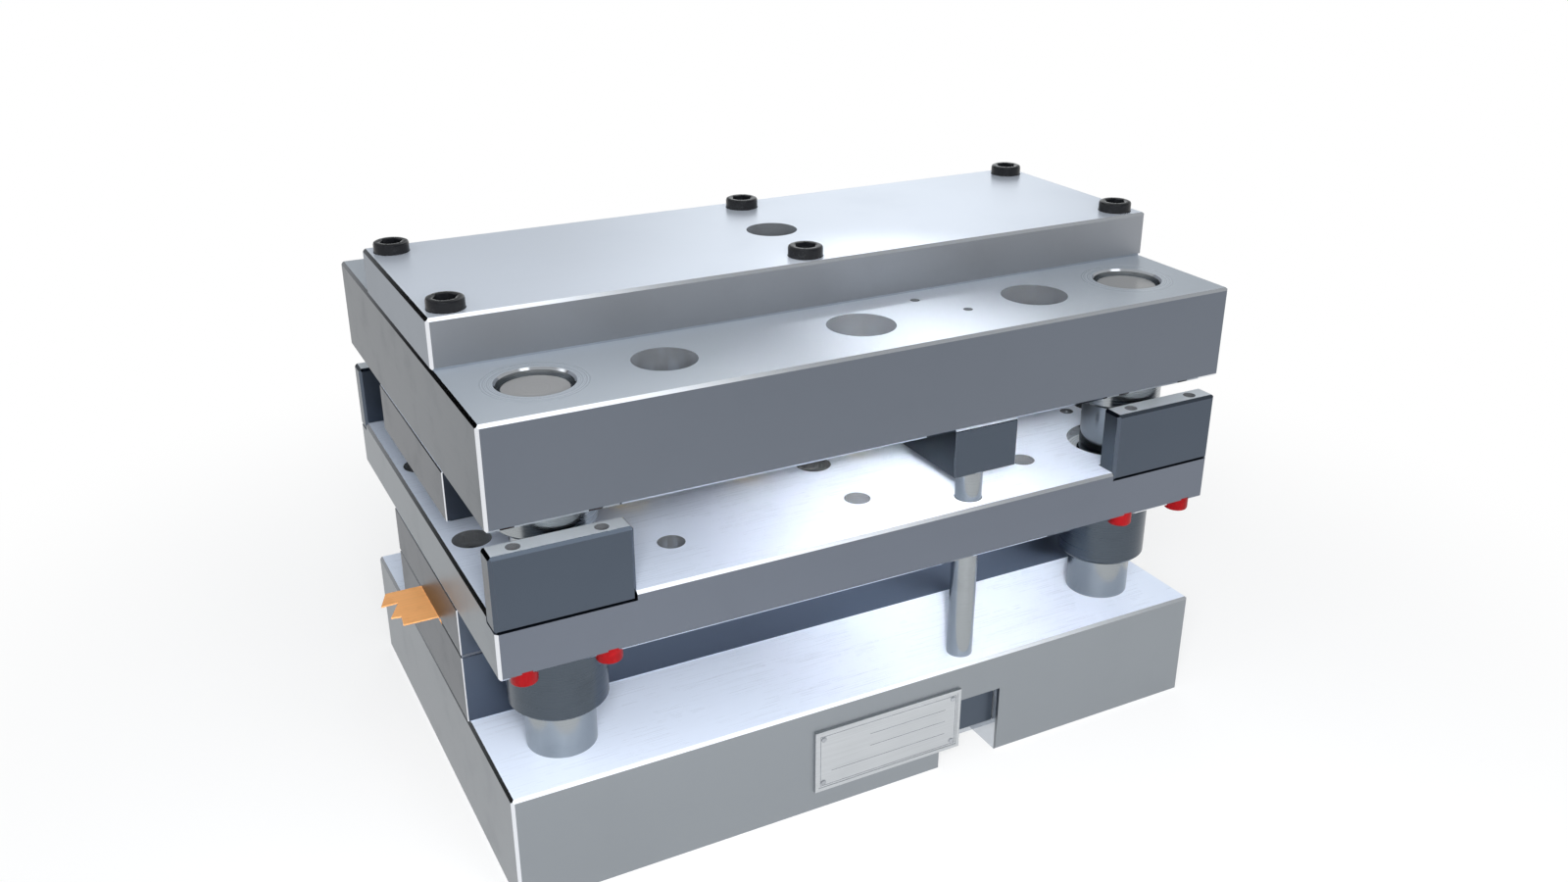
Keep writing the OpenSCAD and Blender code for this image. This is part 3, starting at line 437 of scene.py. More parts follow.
def fill_turned_rings(wires, given):
    """Fine lathe rings round the nearest guide post, and masks of its tops and slanted edges, where a
    painted paler top and a painted edge highlight go.
    """
    place, normal = place_and_normal(wires)
    off_x = wires.minus(wires.math("ABSOLUTE", place[0]), given["Centre X"])
    off_y = wires.minus(wires.math("ABSOLUTE", place[1]), given["Centre Y"])
    squares = wires.plus(wires.math("POWER", off_x, 2.0), wires.math("POWER", off_y, 2.0))
    radius = wires.math("SQRT", squares)
    flat = wires.step(wires.math("ABSOLUTE", normal[2]), *ALONG_AXIS)
    run = wires.blend_value(flat, place[2], radius)
    rings = wires.put(
        "ShaderNodeTexNoise",
        {"Vector": wires.combine(wires.times(run, given["Pitch"]), 0.0, 0.0), "Scale": 1.0},
    ).outputs[0]
    top = wires.step(normal[2], *TURNED_TOP)
    slanted = wires.step(normal[2], *TURNED_SLANT)
    edge = wires.times(slanted, wires.minus(1.0, top))
    return {"Rings": rings, "Top": top, "Edge": edge}


def fill_handling(wires, given):
    """Faint wear from handling, in soft patches."""
    place, _ = place_and_normal(wires)
    whole = wires.combine(place[0], place[1], place[2])
    patches = wires.put(
        "ShaderNodeTexNoise", {"Vector": whole, "Scale": given["Scale"], "Detail": 5.0, "Roughness": 0.65}
    ).outputs[0]
    worn = wires.step(patches, *WORN_NOISE)
    return {"Worn": worn}


def shader_groups():
    """All shader groups that the finishes share."""
    return {
        "faces": group(
            "die_plate_faces",
            {"Middle X": 0.0, "Middle Y": 0.0, "Half Length": LOWER_TOP.x, "Half Depth": LOWER_TOP.y,
             "Top Level": LOWER_TOP.z},
            ("Top", "End", "Wall", "Edge"),
            fill_plate_faces,
        ),
        "grain": group(
            "die_ground_grain",
            {"Along": 30.0, "Across": 2600.0, "Clouds": 5.0},
            ("Lines", "Clouds"),
            fill_ground_grain,
        ),
        "rings": group(
            "die_turned_rings",
            {"Centre X": POST_PLACE.x, "Centre Y": POST_PLACE.y, "Pitch": 1600.0},
            ("Rings", "Top", "Edge"),
            fill_turned_rings,
        ),
        "handling": group("die_handling", {"Scale": 30.0}, ("Worn",), fill_handling),
    }


class Finish:
    """A material in the making: its wires and its Principled shader."""

    def __init__(self, name, metallic=1.0, **sockets):
        self.material = bpy.data.materials.new(name)
        self.wires = wires_of(self.material)
        self.shader = self.wires.put("ShaderNodeBsdfPrincipled", {"Metallic": metallic, **sockets})
        self.wires.put("ShaderNodeOutputMaterial", {"Surface": self.shader.outputs[0]})

    def use(self, tree, **values):
        """Places a shared group and returns its outputs."""
        node = self.wires.put("ShaderNodeGroup", node_tree=tree)
        for label, value in values.items():
            self.wires.feed(node.inputs[label.replace("_", " ")], value)
        return node.outputs

    def set(self, socket, value):
        """Feeds one input of the Principled shader."""
        self.wires.feed(self.shader.inputs[socket], value)

    def bump(self, height, depth):
        """Feeds the normal with a height in metres."""
        node = self.wires.put("ShaderNodeBump", {"Strength": 1.0, "Distance": depth, "Height": height})
        self.set("Normal", node.outputs[0])


def scaled(tone, factor, lift=0.0):
    """A tone times a factor, lifted by a little and kept below 1."""
    return tuple(min(1.0, part * factor + lift) for part in tone)


def plate_steel(groups, name, box, painted_light_tones, bore, top_metal, roughness, side_roughness=0.36):
    """Ground steel block with painted light: a pale lit top, sides and ends in painted shade, polished
    bores, and polished chamfers painted pale as highlights.
    """
    top, side, end, edge = (tuple(tone) for tone in painted_light_tones)
    middle = (box[0] + box[1]) / 2
    half = (box[1] - box[0]) / 2
    finish = Finish(name)
    wires = finish.wires
    faces = finish.use(
        groups["faces"], Middle_X=abs(middle.x), Middle_Y=abs(middle.y), Half_Length=half.x,
        Half_Depth=half.y, Top_Level=box[1].z,
    )
    grain = finish.use(groups["grain"])
    worn = finish.use(groups["handling"])["Worn"]
    # Painted light: the end, top and chamfer tones stand in for how light falls on each face
    tone = wires.blend(faces["End"], side, end)
    tone = wires.blend(faces["Top"], tone, top)
    tone = wires.blend(faces["Wall"], tone, tuple(bore))
    tone = wires.blend(faces["Edge"], tone, edge)
    clouds = wires.vary(grain["Clouds"], 0.97, 1.02)
    lines = wires.vary(grain["Lines"], 0.992, 1.006)
    finish.set("Base Color", wires.tint(tone, wires.times(clouds, lines)))
    metal = wires.blend_value(faces["Top"], 1.0, top_metal)
    finish.set("Metallic", wires.blend_value(faces["Wall"], metal, BORE_METAL))
    lowest = LINE_ROUGHNESS / 2
    rough = wires.blend_value(faces["Top"], side_roughness - lowest, roughness - lowest)
    rough = wires.plus(rough, wires.times(grain["Lines"], LINE_ROUGHNESS))
    rough = wires.plus(rough, wires.times(worn, WORN_ROUGHNESS))
    fine = wires.math("MAXIMUM", faces["Wall"], faces["Edge"])
    finish.set("Roughness", wires.blend_value(fine, rough, POLISHED))
    finish.bump(grain["Lines"], 0.4 * MICRON)
    return finish.material


def plain_steel(groups, name, tone, roughness):
    """Ground or hardened steel of punches, pins and rivets, with fine lines and handled patches."""
    finish = Finish(name)
    wires = finish.wires
    grain = finish.use(groups["grain"], Clouds=14.0)
    worn = finish.use(groups["handling"], Scale=45.0)["Worn"]
    toned = wires.blend(worn, tuple(tone), scaled(tone, 1.25))
    clouds = wires.vary(grain["Clouds"], 0.9, 1.08)
    lines = wires.vary(grain["Lines"], 0.96, 1.03)
    finish.set("Base Color", wires.tint(toned, wires.times(clouds, lines)))
    finish.set("Roughness", wires.step(grain["Lines"], *WIDE_NOISE, roughness - 0.04, roughness + 0.05))
    finish.bump(grain["Lines"], 3 * MICRON)
    return finish.material


def turned_steel(groups, name, painted_light_tones, roughness):
    """Round guide parts: fine rings along the wall, faces that look up painted paler as if lit, and
    polished chamfers in the edge tone given, which is a painted highlight where it is pale.
    """
    tone, top, edge = (tuple(each) for each in painted_light_tones)
    finish = Finish(name)
    wires = finish.wires
    rings = finish.use(groups["rings"])
    worn = finish.use(groups["handling"], Scale=60.0)["Worn"]
    toned = wires.blend(worn, tone, scaled(tone, 0.9))
    # Painted light: the top tone and the edge tone stand in for light from above and for edge highlights
    toned = wires.blend(rings["Top"], toned, top)
    toned = wires.blend(rings["Edge"], toned, edge)
    finish.set("Base Color", wires.tint(toned, wires.vary(rings["Rings"], *FINE_TINT)))
    finish.set("Metallic", wires.blend_value(rings["Top"], 1.0, TURNED_TOP_METAL))
    rough = wires.step(rings["Rings"], *WIDE_NOISE, roughness - 0.03, roughness + 0.05)
    finish.set("Roughness", wires.blend_value(rings["Edge"], rough, POLISHED))
    finish.bump(rings["Rings"], 1 * MICRON)
    return finish.material


def rolled_copper(groups, name, tone):
    """Rolled copper alloy with lines along the strip and slightly dulled patches."""
    finish = Finish(name)
    wires = finish.wires
    grain = finish.use(groups["grain"], Along=6.0, Across=1500.0, Clouds=25.0)
    worn = finish.use(groups["handling"], Scale=80.0)["Worn"]
    dulled = tuple(c * s for c, s in zip(tone, (0.86, 0.8, 0.75)))
    toned = wires.blend(wires.times(worn, 0.6), tuple(tone), dulled)
    finish.set("Base Color", wires.tint(toned, wires.vary(grain["Lines"], *FINE_TINT)))
    finish.set("Metallic", wires.vary(grain["Clouds"], *COPPER_METAL))
    finish.set("Roughness", wires.step(grain["Lines"], *WIDE_NOISE, 0.28, 0.4))
    finish.bump(grain["Lines"], 4 * MICRON)
    return finish.material


def enamel(groups, name, tone, roughness, gloss=0.5):
    """Enamel or oxide on screws and springs, a little thinner where it is handled."""
    finish = Finish(name, metallic=0.0, **{"Specular IOR Level": gloss})
    wires = finish.wires
    worn = finish.use(groups["handling"], Scale=160.0)["Worn"]
    finish.set("Base Color", wires.blend(worn, tuple(tone), scaled(tone, 1.35, lift=0.004)))
    finish.set("Roughness", wires.step(worn, 0.0, 1.0, roughness, roughness + 0.12))
    finish.bump(worn, 8 * MICRON)
    return finish.material


def satin_tag(groups, name, tone):
    """Satin name plate, finely brushed along its length."""
    finish = Finish(name)
    wires = finish.wires
    grain = finish.use(groups["grain"], Along=20.0, Across=1800.0, Clouds=30.0)
    finish.set("Base Color", wires.tint(tuple(tone), wires.vary(grain["Lines"], *FINE_TINT)))
    finish.set("Roughness", wires.vary(grain["Clouds"], 0.34, 0.46))
    finish.bump(grain["Lines"], 3 * MICRON)
    return finish.material


def dress(node, material):
    """Gives one CAD node its finish."""
    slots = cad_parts[node].material_slots
    if not slots:
        raise RuntimeError(f"{node} has no material slot")
    for each in slots:
        each.material = material


# Places of repeated solids


def solids_of(node):
    """Lowest and highest corner of each separate solid of a CAD node."""
    merged = bmesh.new()
    merged.from_mesh(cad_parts[node].data)
    bmesh.ops.remove_doubles(merged, verts=merged.verts, dist=SAME_POINT)
    waiting = set(merged.verts)
    boxes = []
    while waiting:
        reached = [waiting.pop()]
        corners = []
        while reached:
            vert = reached.pop()
            corners.append(vert.co.copy())
            for edge in vert.link_edges:
                other = edge.other_vert(vert)
                if other in waiting:
                    waiting.remove(other)
                    reached.append(other)
        low = Vector(min(c[i] for c in corners) for i in range(3))
        high = Vector(max(c[i] for c in corners) for i in range(3))
        boxes.append((low, high))
    merged.free()
    if not boxes:
        raise RuntimeError(f"{node} has no solid")
    return sorted(boxes, key=lambda box: tuple(round(v, 5) for v in box[0]))


# Geometry Nodes


def geometry_tree(name, sizes):
    """An empty Geometry Nodes tree with named sizes, a turn and a material."""
    tree = bpy.data.node_groups.new(name, "GeometryNodeTree")
    face = tree.interface
    face.new_socket("Geometry", in_out="INPUT", socket_type="NodeSocketGeometry")
    for label, default in sizes.items():
        kind = "NodeSocketInt" if isinstance(default, int) else "NodeSocketFloat"
        face.new_socket(label, in_out="INPUT", socket_type=kind).default_value = default
    face.new_socket("Turn", in_out="INPUT", socket_type="NodeSocketVector")
    face.new_socket("Finish", in_out="INPUT", socket_type="NodeSocketMaterial")
    face.new_socket("Geometry", in_out="OUTPUT", socket_type="NodeSocketGeometry")
    wires = Wires(tree)
    return wires, wires.put("NodeGroupInput").outputs


def lathe(wires, segments, points):
    """Turns a profile round Z. Each point is a radius, a height and whether its ring is a hexagon."""
    rows = wires.plus(segments, 1.0)
    grid = wires.put(
        "GeometryNodeMeshGrid",
        {"Size X": 1.0, "Size Y": 1.0, "Vertices X": len(points), "Vertices Y": rows},
    )
    position = wires.put("GeometryNodeInputPosition").outputs[0]
    place = wires.put("ShaderNodeSeparateXYZ", {0: position}).outputs
    index = wires.math("ROUND", wires.times(wires.plus(place[0], 0.5), float(len(points) - 1)))
    angle = wires.times(wires.plus(place[1], 0.5), math.tau)
    sixth = wires.minus(wires.math("FLOORED_MODULO", angle, math.pi / 3), math.pi / 6)
    stretch = wires.math("DIVIDE", 1.0, wires.math("COSINE", sixth))
    radii = wires.put("GeometryNodeIndexSwitch", data_type="FLOAT")
    heights = wires.put("GeometryNodeIndexSwitch", data_type="FLOAT")
    for _ in range(len(points) - 2):
        radii.index_switch_items.new()
        heights.index_switch_items.new()
    for node in (radii, heights):
        wires.feed(node.inputs["Index"], index)
    for number, (radius, height, hexagon) in enumerate(points):
        reach = wires.times(radius, stretch) if hexagon else radius
        wires.feed(radii.inputs[number + 1], reach)
        wires.feed(heights.inputs[number + 1], height)
    turned = wires.combine(
        wires.times(radii.outputs[0], wires.math("COSINE", angle)),
        wires.times(radii.outputs[0], wires.math("SINE", angle)),
        heights.outputs[0],
    )
    moved = wires.put("GeometryNodeSetPosition", {"Geometry": grid.outputs["Mesh"], "Position": turned})
    closed = wires.put(
        "GeometryNodeMergeByDistance", {"Geometry": moved.outputs[0], "Distance": 1 * MICRON}
    )
    return closed.outputs[0]


def set_out(wires, given, mesh):
    """Sets a shape out on every point, turns it, makes it real and gives it its finish."""
    turn = wires.put("FunctionNodeEulerToRotation", {"Euler": given["Turn"]})
    spread = wires.put(
        "GeometryNodeInstanceOnPoints",
        {"Points": given["Geometry"], "Instance": mesh, "Rotation": turn.outputs[0]},
    )
    real = wires.put("GeometryNodeRealizeInstances", {"Geometry": spread.outputs[0]})
    done = wires.put("GeometryNodeSetMaterial", {"Geometry": real.outputs[0], "Material": given["Finish"]})
    wires.put("NodeGroupOutput", {"Geometry": done.outputs[0]})
    return wires.tree


def cap_screw_tree():
    """A socket head cap screw with its bearing face at the point and its thread below it."""
    wires, given = geometry_tree(
        "die_cap_screw",
        {"Segments": 48, "Thread": 12 * MM, "Head": 18 * MM, "Grip": 30 * MM, "Edge": 1 * MM,
         "Flats": 10 * MM, "Socket": 6 * MM},
    )
    rod = wires.half(given["Thread"])
    head = wires.half(given["Head"])
    key = wires.half(given["Flats"])
    end = wires.times(given["Grip"], -1.0)
    edge = given["Edge"]
    soft = wires.times(edge, SOFT_EDGE)
    high = given["Thread"]
    floor = wires.minus(high, given["Socket"])
    mouth = wires.times(key, SOCKET_MOUTH)
    body = lathe(wires, given["Segments"], [
        (0.0, end, False),
        (wires.minus(rod, edge), end, False),
        (rod, wires.plus(end, edge), False),
        (rod, 0.0, False),
        (wires.minus(head, soft), 0.0, False),
        (head, soft, False),
        (head, wires.minus(high, edge), False),
        (wires.minus(head, soft), wires.minus(high, soft), False),
        (wires.minus(head, edge), high, False),
        (mouth, high, False),
        (key, wires.minus(high, soft), True),
        (key, floor, True),
        (0.0, wires.minus(floor, edge), False),
    ])
    return set_out(wires, given, body)


def rivet_tree():
    """A rivet with a low crown, its head's underside at the point and its shank below it."""
    wires, given = geometry_tree(
        "die_rivet", {"Segments": 24, "Head": 3 * MM, "Crown": 0.7 * MM, "Neck": 2 * MM, "Grip": 5 * MM}
    )
    head = wires.half(given["Head"])
    neck = wires.half(given["Neck"])
    end = wires.times(given["Grip"], -1.0)
    profile = [(0.0, end, False), (neck, end, False), (neck, 0.0, False), (head, 0.0, False)]
    for number in range(CROWN_STEPS + 1):
        turn = math.pi / 2 * number / CROWN_STEPS
        rise = CROWN_RIM + (1 - CROWN_RIM) * math.sin(turn)
        reach = wires.times(head, math.cos(turn)) if number < CROWN_STEPS else 0.0
        profile.append((reach, wires.times(given["Crown"], rise), False))
    return set_out(wires, given, lathe(wires, given["Segments"], profile))


def spring_tree():
    """A die spring that stands on the point, its rectangular wire flat at both ends."""
    wires, given = geometry_tree(
        "die_spring",
        {"Turns": 6, "Diameter": 25 * MM, "Length": 67 * MM, "Width": 5 * MM, "Height": 3 * MM,
         "Corner": 0.8 * MM, "Flat": 0.6},
    )
    count = wires.times(given["Turns"], SPRING_STEPS)
    line = wires.put("GeometryNodeCurvePrimitiveLine", mode="POINTS")
    run = wires.put("GeometryNodeResampleCurve", {"Curve": line.outputs[0], "Count": count})
    factor = wires.put("GeometryNodeSplineParameter").outputs["Factor"]
    turn = wires.times(factor, given["Turns"])
    free = wires.minus(given["Turns"], wires.times(given["Flat"], 2.0))
    rise = wires.math("DIVIDE", wires.minus(turn, given["Flat"]), free, clamp=True)
    travel = wires.minus(given["Length"], given["Height"])
    height = wires.plus(wires.times(rise, travel), wires.half(given["Height"]))
    middle = wires.half(wires.minus(given["Diameter"], given["Width"]))
    angle = wires.times(turn, math.tau)
    coil = wires.combine(
        wires.times(middle, wires.math("COSINE", angle)),
        wires.times(middle, wires.math("SINE", angle)),
        height,
    )
    shaped = wires.put("GeometryNodeSetPosition", {"Geometry": run.outputs[0], "Position": coil})
    upright = wires.put("GeometryNodeSetCurveNormal", {"Curve": shaped.outputs[0]}, mode="Z_UP")
    section = wires.put(
        "GeometryNodeCurvePrimitiveQuadrilateral", {"Width": given["Width"], "Height": given["Height"]}
    )
    rounded = wires.put(
        "GeometryNodeFilletCurve",
        {"Curve": section.outputs[0], "Radius": given["Corner"], "Count": 3},
        mode="POLY",
    )
    wire = wires.put(
        "GeometryNodeCurveToMesh",
        {"Curve": upright.outputs[0], "Profile Curve": rounded.outputs[0], "Fill Caps": True},
    )
    return set_out(wires, given, wire.outputs[0])


def set_out_piece(name, tree, points, values):
    """Runs a tree on points and keeps the result as a plain mesh."""
    mesh = bpy.data.meshes.new(name)
    mesh.from_pydata([tuple(p) for p in points], [], [])
    piece = add_object(name, mesh)
    modifier = piece.modifiers.new(name, "NODES")
    modifier.node_group = tree
    known = {i.name: i.identifier for i in tree.interface.items_tree if i.in_out == "INPUT"}
    for label, value in values.items():
        modifier[known[label]] = value
    bpy.context.view_layer.update()
    graph = bpy.context.evaluated_depsgraph_get()
    made = bpy.data.meshes.new_from_object(piece.evaluated_get(graph), depsgraph=graph)
    piece.modifiers.clear()
    piece.data = made
    made.name = name
    bpy.data.meshes.remove(mesh)
    if not made.polygons:
        raise RuntimeError(f"{name} came out empty")
    made.shade_smooth()
    made.set_sharp_from_angle(angle=SHARP_ANGLE)
    return piece


def screws_for(tree, node, material, body, head_down=False):
    """Replaces the screws of a CAD node by detailed ones."""
    _, fasteners, _ = settings()
    boxes = solids_of(node)
    low, high = boxes[0]
    head = high.x - low.x
    extra = 0.0 if head > fasteners.large_head else fasteners.small_head_extra
    thread = (head - extra) / fasteners.head_share
    grip = high.z - low.z - thread
    points = []
    for a, b in boxes:
        bearing = b.z - grip if head_down else a.z + grip
        points.append(((a.x + b.x) / 2, (a.y + b.y) / 2, bearing))
    piece = set_out_piece(node + "_made", tree, points, {
        "Segments": fasteners.segments,
        "Thread": thread,
        "Head": head,
        "Grip": grip,
        "Edge": thread * fasteners.head_edge,
        "Flats": thread * fasteners.socket_flats,
        "Socket": thread * fasteners.socket_depth,
        "Turn": (math.pi if head_down else 0.0, 0.0, 0.0),
        "Finish": material,
    })
    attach(piece, body)
    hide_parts(node)


# Operators


class DieOperator(bpy.types.Operator):
    """Shared by the die's operators"""

    bl_options = {"REGISTER", "UNDO"}
    groups = {}


class DIE_OT_finish_plates(DieOperator):
    """Finish the shoes, the package plates and the clamp plate"""

    bl_idname = "die.finish_plates"
    bl_label = "Finish plates"

    def execute(self, context):
        finish, _, _ = settings()
        clamp = (finish.clamp_top, finish.clamp_side, finish.clamp_end, finish.edge)
        upper = (finish.upper_top, finish.upper_side, finish.upper_end, finish.edge)
        stripper = (finish.stripper_top, finish.stripper_side, finish.stripper_end, finish.edge)
        package = (finish.stripper_top, finish.package_side, finish.package_end, finish.edge)
        lower = (finish.lower_top, finish.lower_side, finish.lower_end, finish.edge)
        # Tones with painted light (lit top, shaded sides and ends, pale edge highlight), how metallic the
        # top is, and the roughness of the top and of the sides
        plates = {
            "clamp_plate": (clamp, 0.5, 0.3, 0.6),
            "upper_shoe": (upper, 0.4, 0.3, 0.36),
            "punch_plate": (package, 0.5, 0.3, 0.36),
            "stripper_plate": (stripper, 0.1, 0.28, 0.36),
            "stripper_insert": (package, 0.5, 0.3, 0.36),
            "die_plate": (package, 0.5, 0.3, 0.36),
            "lower_shoe": (lower, 0.1, 0.28, 0.36),
        }
        for node, (painted_light_tones, top_metal, roughness, side_roughness) in plates.items():
            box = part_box(node)
            dress(node, plate_steel(
                self.groups, node + "_steel", box, painted_light_tones, finish.bore, top_metal, roughness, side_roughness
            ))
        return {"FINISHED"}


class DIE_OT_finish_guides(DieOperator):
    """Finish the posts, the bushes and the sub-guide pin"""

    bl_idname = "die.finish_guides"
    bl_label = "Finish guides"

    def execute(self, context):
        finish, _, _ = settings()
        # Painted light: tops are painted paler as if lit, sleeve and bush tops take the upper shoe's
        # painted top tone, and posts and sleeves get the pale edge tone as a painted highlight
        posts = (finish.post, finish.post_top, finish.edge)
        sleeves = (finish.post, finish.upper_top, finish.edge)
        bushes = (finish.bush, finish.upper_top, finish.bush)
        polished = turned_steel(self.groups, "guide_steel", posts, roughness=0.2)
        sleeve = turned_steel(self.groups, "sleeve_steel", sleeves, roughness=0.25)
        hardened = turned_steel(self.groups, "bush_steel", bushes, roughness=0.28)
        for corner in CORNERS:
            dress("guide_post_" + corner, polished)
            dress("upper_bush_" + corner, sleeve)
            dress("stripper_bush_" + corner, hardened)
        dress("sub_guide_pin", polished)
        return {"FINISHED"}


class DIE_OT_finish_tools(DieOperator):
    """Finish the punches, the dies, the pilots, the pins and the dowels"""

    bl_idname = "die.finish_tools"
    bl_label = "Finish punches and dies"

    def execute(self, context):
        finish, _, _ = settings()
        tool = plain_steel(self.groups, "tool_steel", finish.tool, roughness=0.2)
        pin = plain_steel(self.groups, "pin_steel", finish.post, roughness=0.16)
        for node in (
            "blanking_die", "blanking_punch", "centre_die_button", "centre_punch", "pierce_die_buttons",
            "pierce_punches", "pilots", "side_die_buttons", "side_punches",
        ):
            dress(node, tool)
        for node in (
            "stock_guide_pins", "die_plate_dowels", "insert_dowels", "punch_plate_dowels",
            "sub_guide_dowels",
        ):
            dress(node, pin)
        return {"FINISHED"}


class DIE_OT_finish_strip(DieOperator):
    """Finish the copper coloured strip"""

    bl_idname = "die.finish_strip"
    bl_label = "Finish strip"

    def execute(self, context):
        finish, _, _ = settings()
        dress("strip", rolled_copper(self.groups, "strip_copper", finish.copper))
        return {"FINISHED"}


class DIE_OT_finish_blocks(DieOperator):
    """Finish the stop blocks, the anchor block and the sub-guide block"""

    bl_idname = "die.finish_blocks"
    bl_label = "Finish blocks"

    def execute(self, context):
        finish, _, _ = settings()
        # Painted light: block tops are painted pale as if lit, their sides and ends darker as shade, and
        # the sub-guide block's ends near black
        painted_light_tones = (finish.block_top, finish.block, finish.block_end, finish.block)
        guide_painted_light_tones = (finish.block_top, finish.block, finish.guide_block_shaded_end, finish.block)
        stops = ["stop_block_" + corner for corner in CORNERS]
        rows = (
            ("stop_block_steel", stops, painted_light_tones),
            ("anchor_block_steel", ["anchor_block"], painted_light_tones),
            ("sub_guide_block_steel", ["sub_guide_block"], guide_painted_light_tones),
        )
        for name, nodes, each in rows:
            steel = plate_steel(
                self.groups, name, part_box(nodes[-1]), each, finish.bore, top_metal=0.4, roughness=0.32
            )
            for node in nodes:
                dress(node, steel)
        return {"FINISHED"}


class DIE_OT_make_screws(DieOperator):
    """Make the socket head screws and finish the hanger bolts"""

    bl_idname = "die.make_screws"
    bl_label = "Make screws"

    def execute(self, context):
        finish, _, _ = settings()
        tree = cap_screw_tree()
        black = enamel(self.groups, "black_oxide", finish.black, roughness=0.2, gloss=0.2)
        red = enamel(self.groups, "red_enamel", finish.red, roughness=0.35, gloss=0.1)
        rows = (
            ("clamp_screws", "upper_die", False),
            ("punch_plate_screws", "upper_die", False),
            ("sub_guide_screws", "upper_die", True),
            ("insert_screws", "stripper", False),
            ("die_plate_screws", "lower_die", False),
            ("anchor_screws", "lower_die", True),
        )
        for node, body, head_down in rows:
            screws_for(tree, node, black, body, head_down)
        screws_for(tree, "stop_block_screws", red, "stripper", head_down=True)
        dress("hanger_bolts", black)
        return {"FINISHED"}


class DIE_OT_make_springs(DieOperator):
    """Make the die springs"""

    bl_idname = "die.make_springs"
    bl_label = "Make springs"

    def execute(self, context):
        finish, fasteners, _ = settings()
        boxes = solids_of("die_springs")
        low, high = boxes[0]
        length = high.z - low.z
        points = [((a.x + b.x) / 2, (a.y + b.y) / 2, a.z) for a, b in boxes]
        piece = set_out_piece("die_springs_made", spring_tree(), points, {
            "Turns": fasteners.spring_turns,
            "Diameter": high.x - low.x,
            "Length": length,
            "Width": fasteners.wire_width,
            "Height": fasteners.wire_height,
            "Corner": fasteners.wire_round,
            "Flat": fasteners.spring_flat,
            "Turn": (0.0, 0.0, 0.0),
            "Finish": enamel(self.groups, "spring_enamel", finish.spring, roughness=0.35),
        })
        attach(piece, "stripper")
        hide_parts("die_springs")
        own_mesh(piece)
        return {"FINISHED"}


class DIE_OT_make_name_plate(DieOperator):
    """Finish the blank name plate, rule its field and make its rivets"""

    bl_idname = "die.make_name_plate"
    bl_label = "Make name plate"

    border: distance("Border", "Width of the raised border", 2 * MM)
    margin: distance("Margin", "From the border to the print", 1.2 * MM)
    field: distance("Field", "Depth of the field", 0.3 * MM)
    rule: distance("Rule", "Width of a printed line", 0.35 * MM)
    rise: distance("Rise", "Thickness of the print", 0.05 * MM)
    bite: distance("Bite", "How deep the print sinks into the field", 0.01 * MM)

    def execute(self, context):
        finish, fasteners, _ = settings()
        low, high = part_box("name_plate")
        dress("name_plate", satin_tag(self.groups, "tag_satin", finish.tag))
        boxes = solids_of("name_plate_rivets")
        head = boxes[0][1].x - boxes[0][0].x
        bearing = boxes[0][0].y + fasteners.rivet_head
        grip = min(b.y - a.y for a, b in boxes) - fasteners.rivet_head
        points = [((a.x + b.x) / 2, bearing, (a.z + b.z) / 2) for a, b in boxes]
        metal = plain_steel(self.groups, "rivet_metal", finish.rivet, roughness=0.3)
        rivets = set_out_piece("name_plate_rivets_made", rivet_tree(), points, {
            "Head": head,
            "Crown": fasteners.rivet_head,
            "Neck": head * fasteners.rivet_neck,
            "Grip": grip,
            "Turn": (math.pi / 2, 0.0, 0.0),
            "Finish": metal,
        })
        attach(rivets, "lower_die")
        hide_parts("name_plate_rivets")
        self.make_rules(low, high, finish)
        return {"FINISHED"}

    def make_rules(self, low, high, finish):
        """Thin printed lines on the field: a frame and a few empty rows."""
        front = low.y + self.field
        inset = self.border + self.margin
        left, right = low.x + inset, high.x - inset
        bottom, top = low.z + inset, high.z - inset
        height = top - bottom
        width = right - left
        shape = bmesh.new()
        half = self.rule / 2
        for start, stop, level in PRINTED_ROWS:
            x0, x1, z = left + start * width, left + stop * width, bottom + level * height
            self.add_bar(shape, x0 - half, x1 + half, z - half, z + half, front)
        for x in (left, right):
            self.add_bar(shape, x - half, x + half, bottom + half, top - half, front)
        mesh = bpy.data.meshes.new("name_plate_rules")
        shape.to_mesh(mesh)
        shape.free()
        rules = add_object("name_plate_rules", mesh)
        mesh.materials.append(enamel(self.groups, "tag_print", finish.tag_line, roughness=0.4))
        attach(rules, "lower_die")

    def add_bar(self, shape, x0, x1, z0, z1, front):
        """One printed line, a low bar that stands on the field."""
        made = bmesh.ops.create_cube(shape, size=1.0)
        for vert in made["verts"]:
            vert.co.x = x1 if vert.co.x > 0 else x0
            vert.co.z = z1 if vert.co.z > 0 else z0
            vert.co.y = front + self.bite if vert.co.y > 0 else front - self.rise


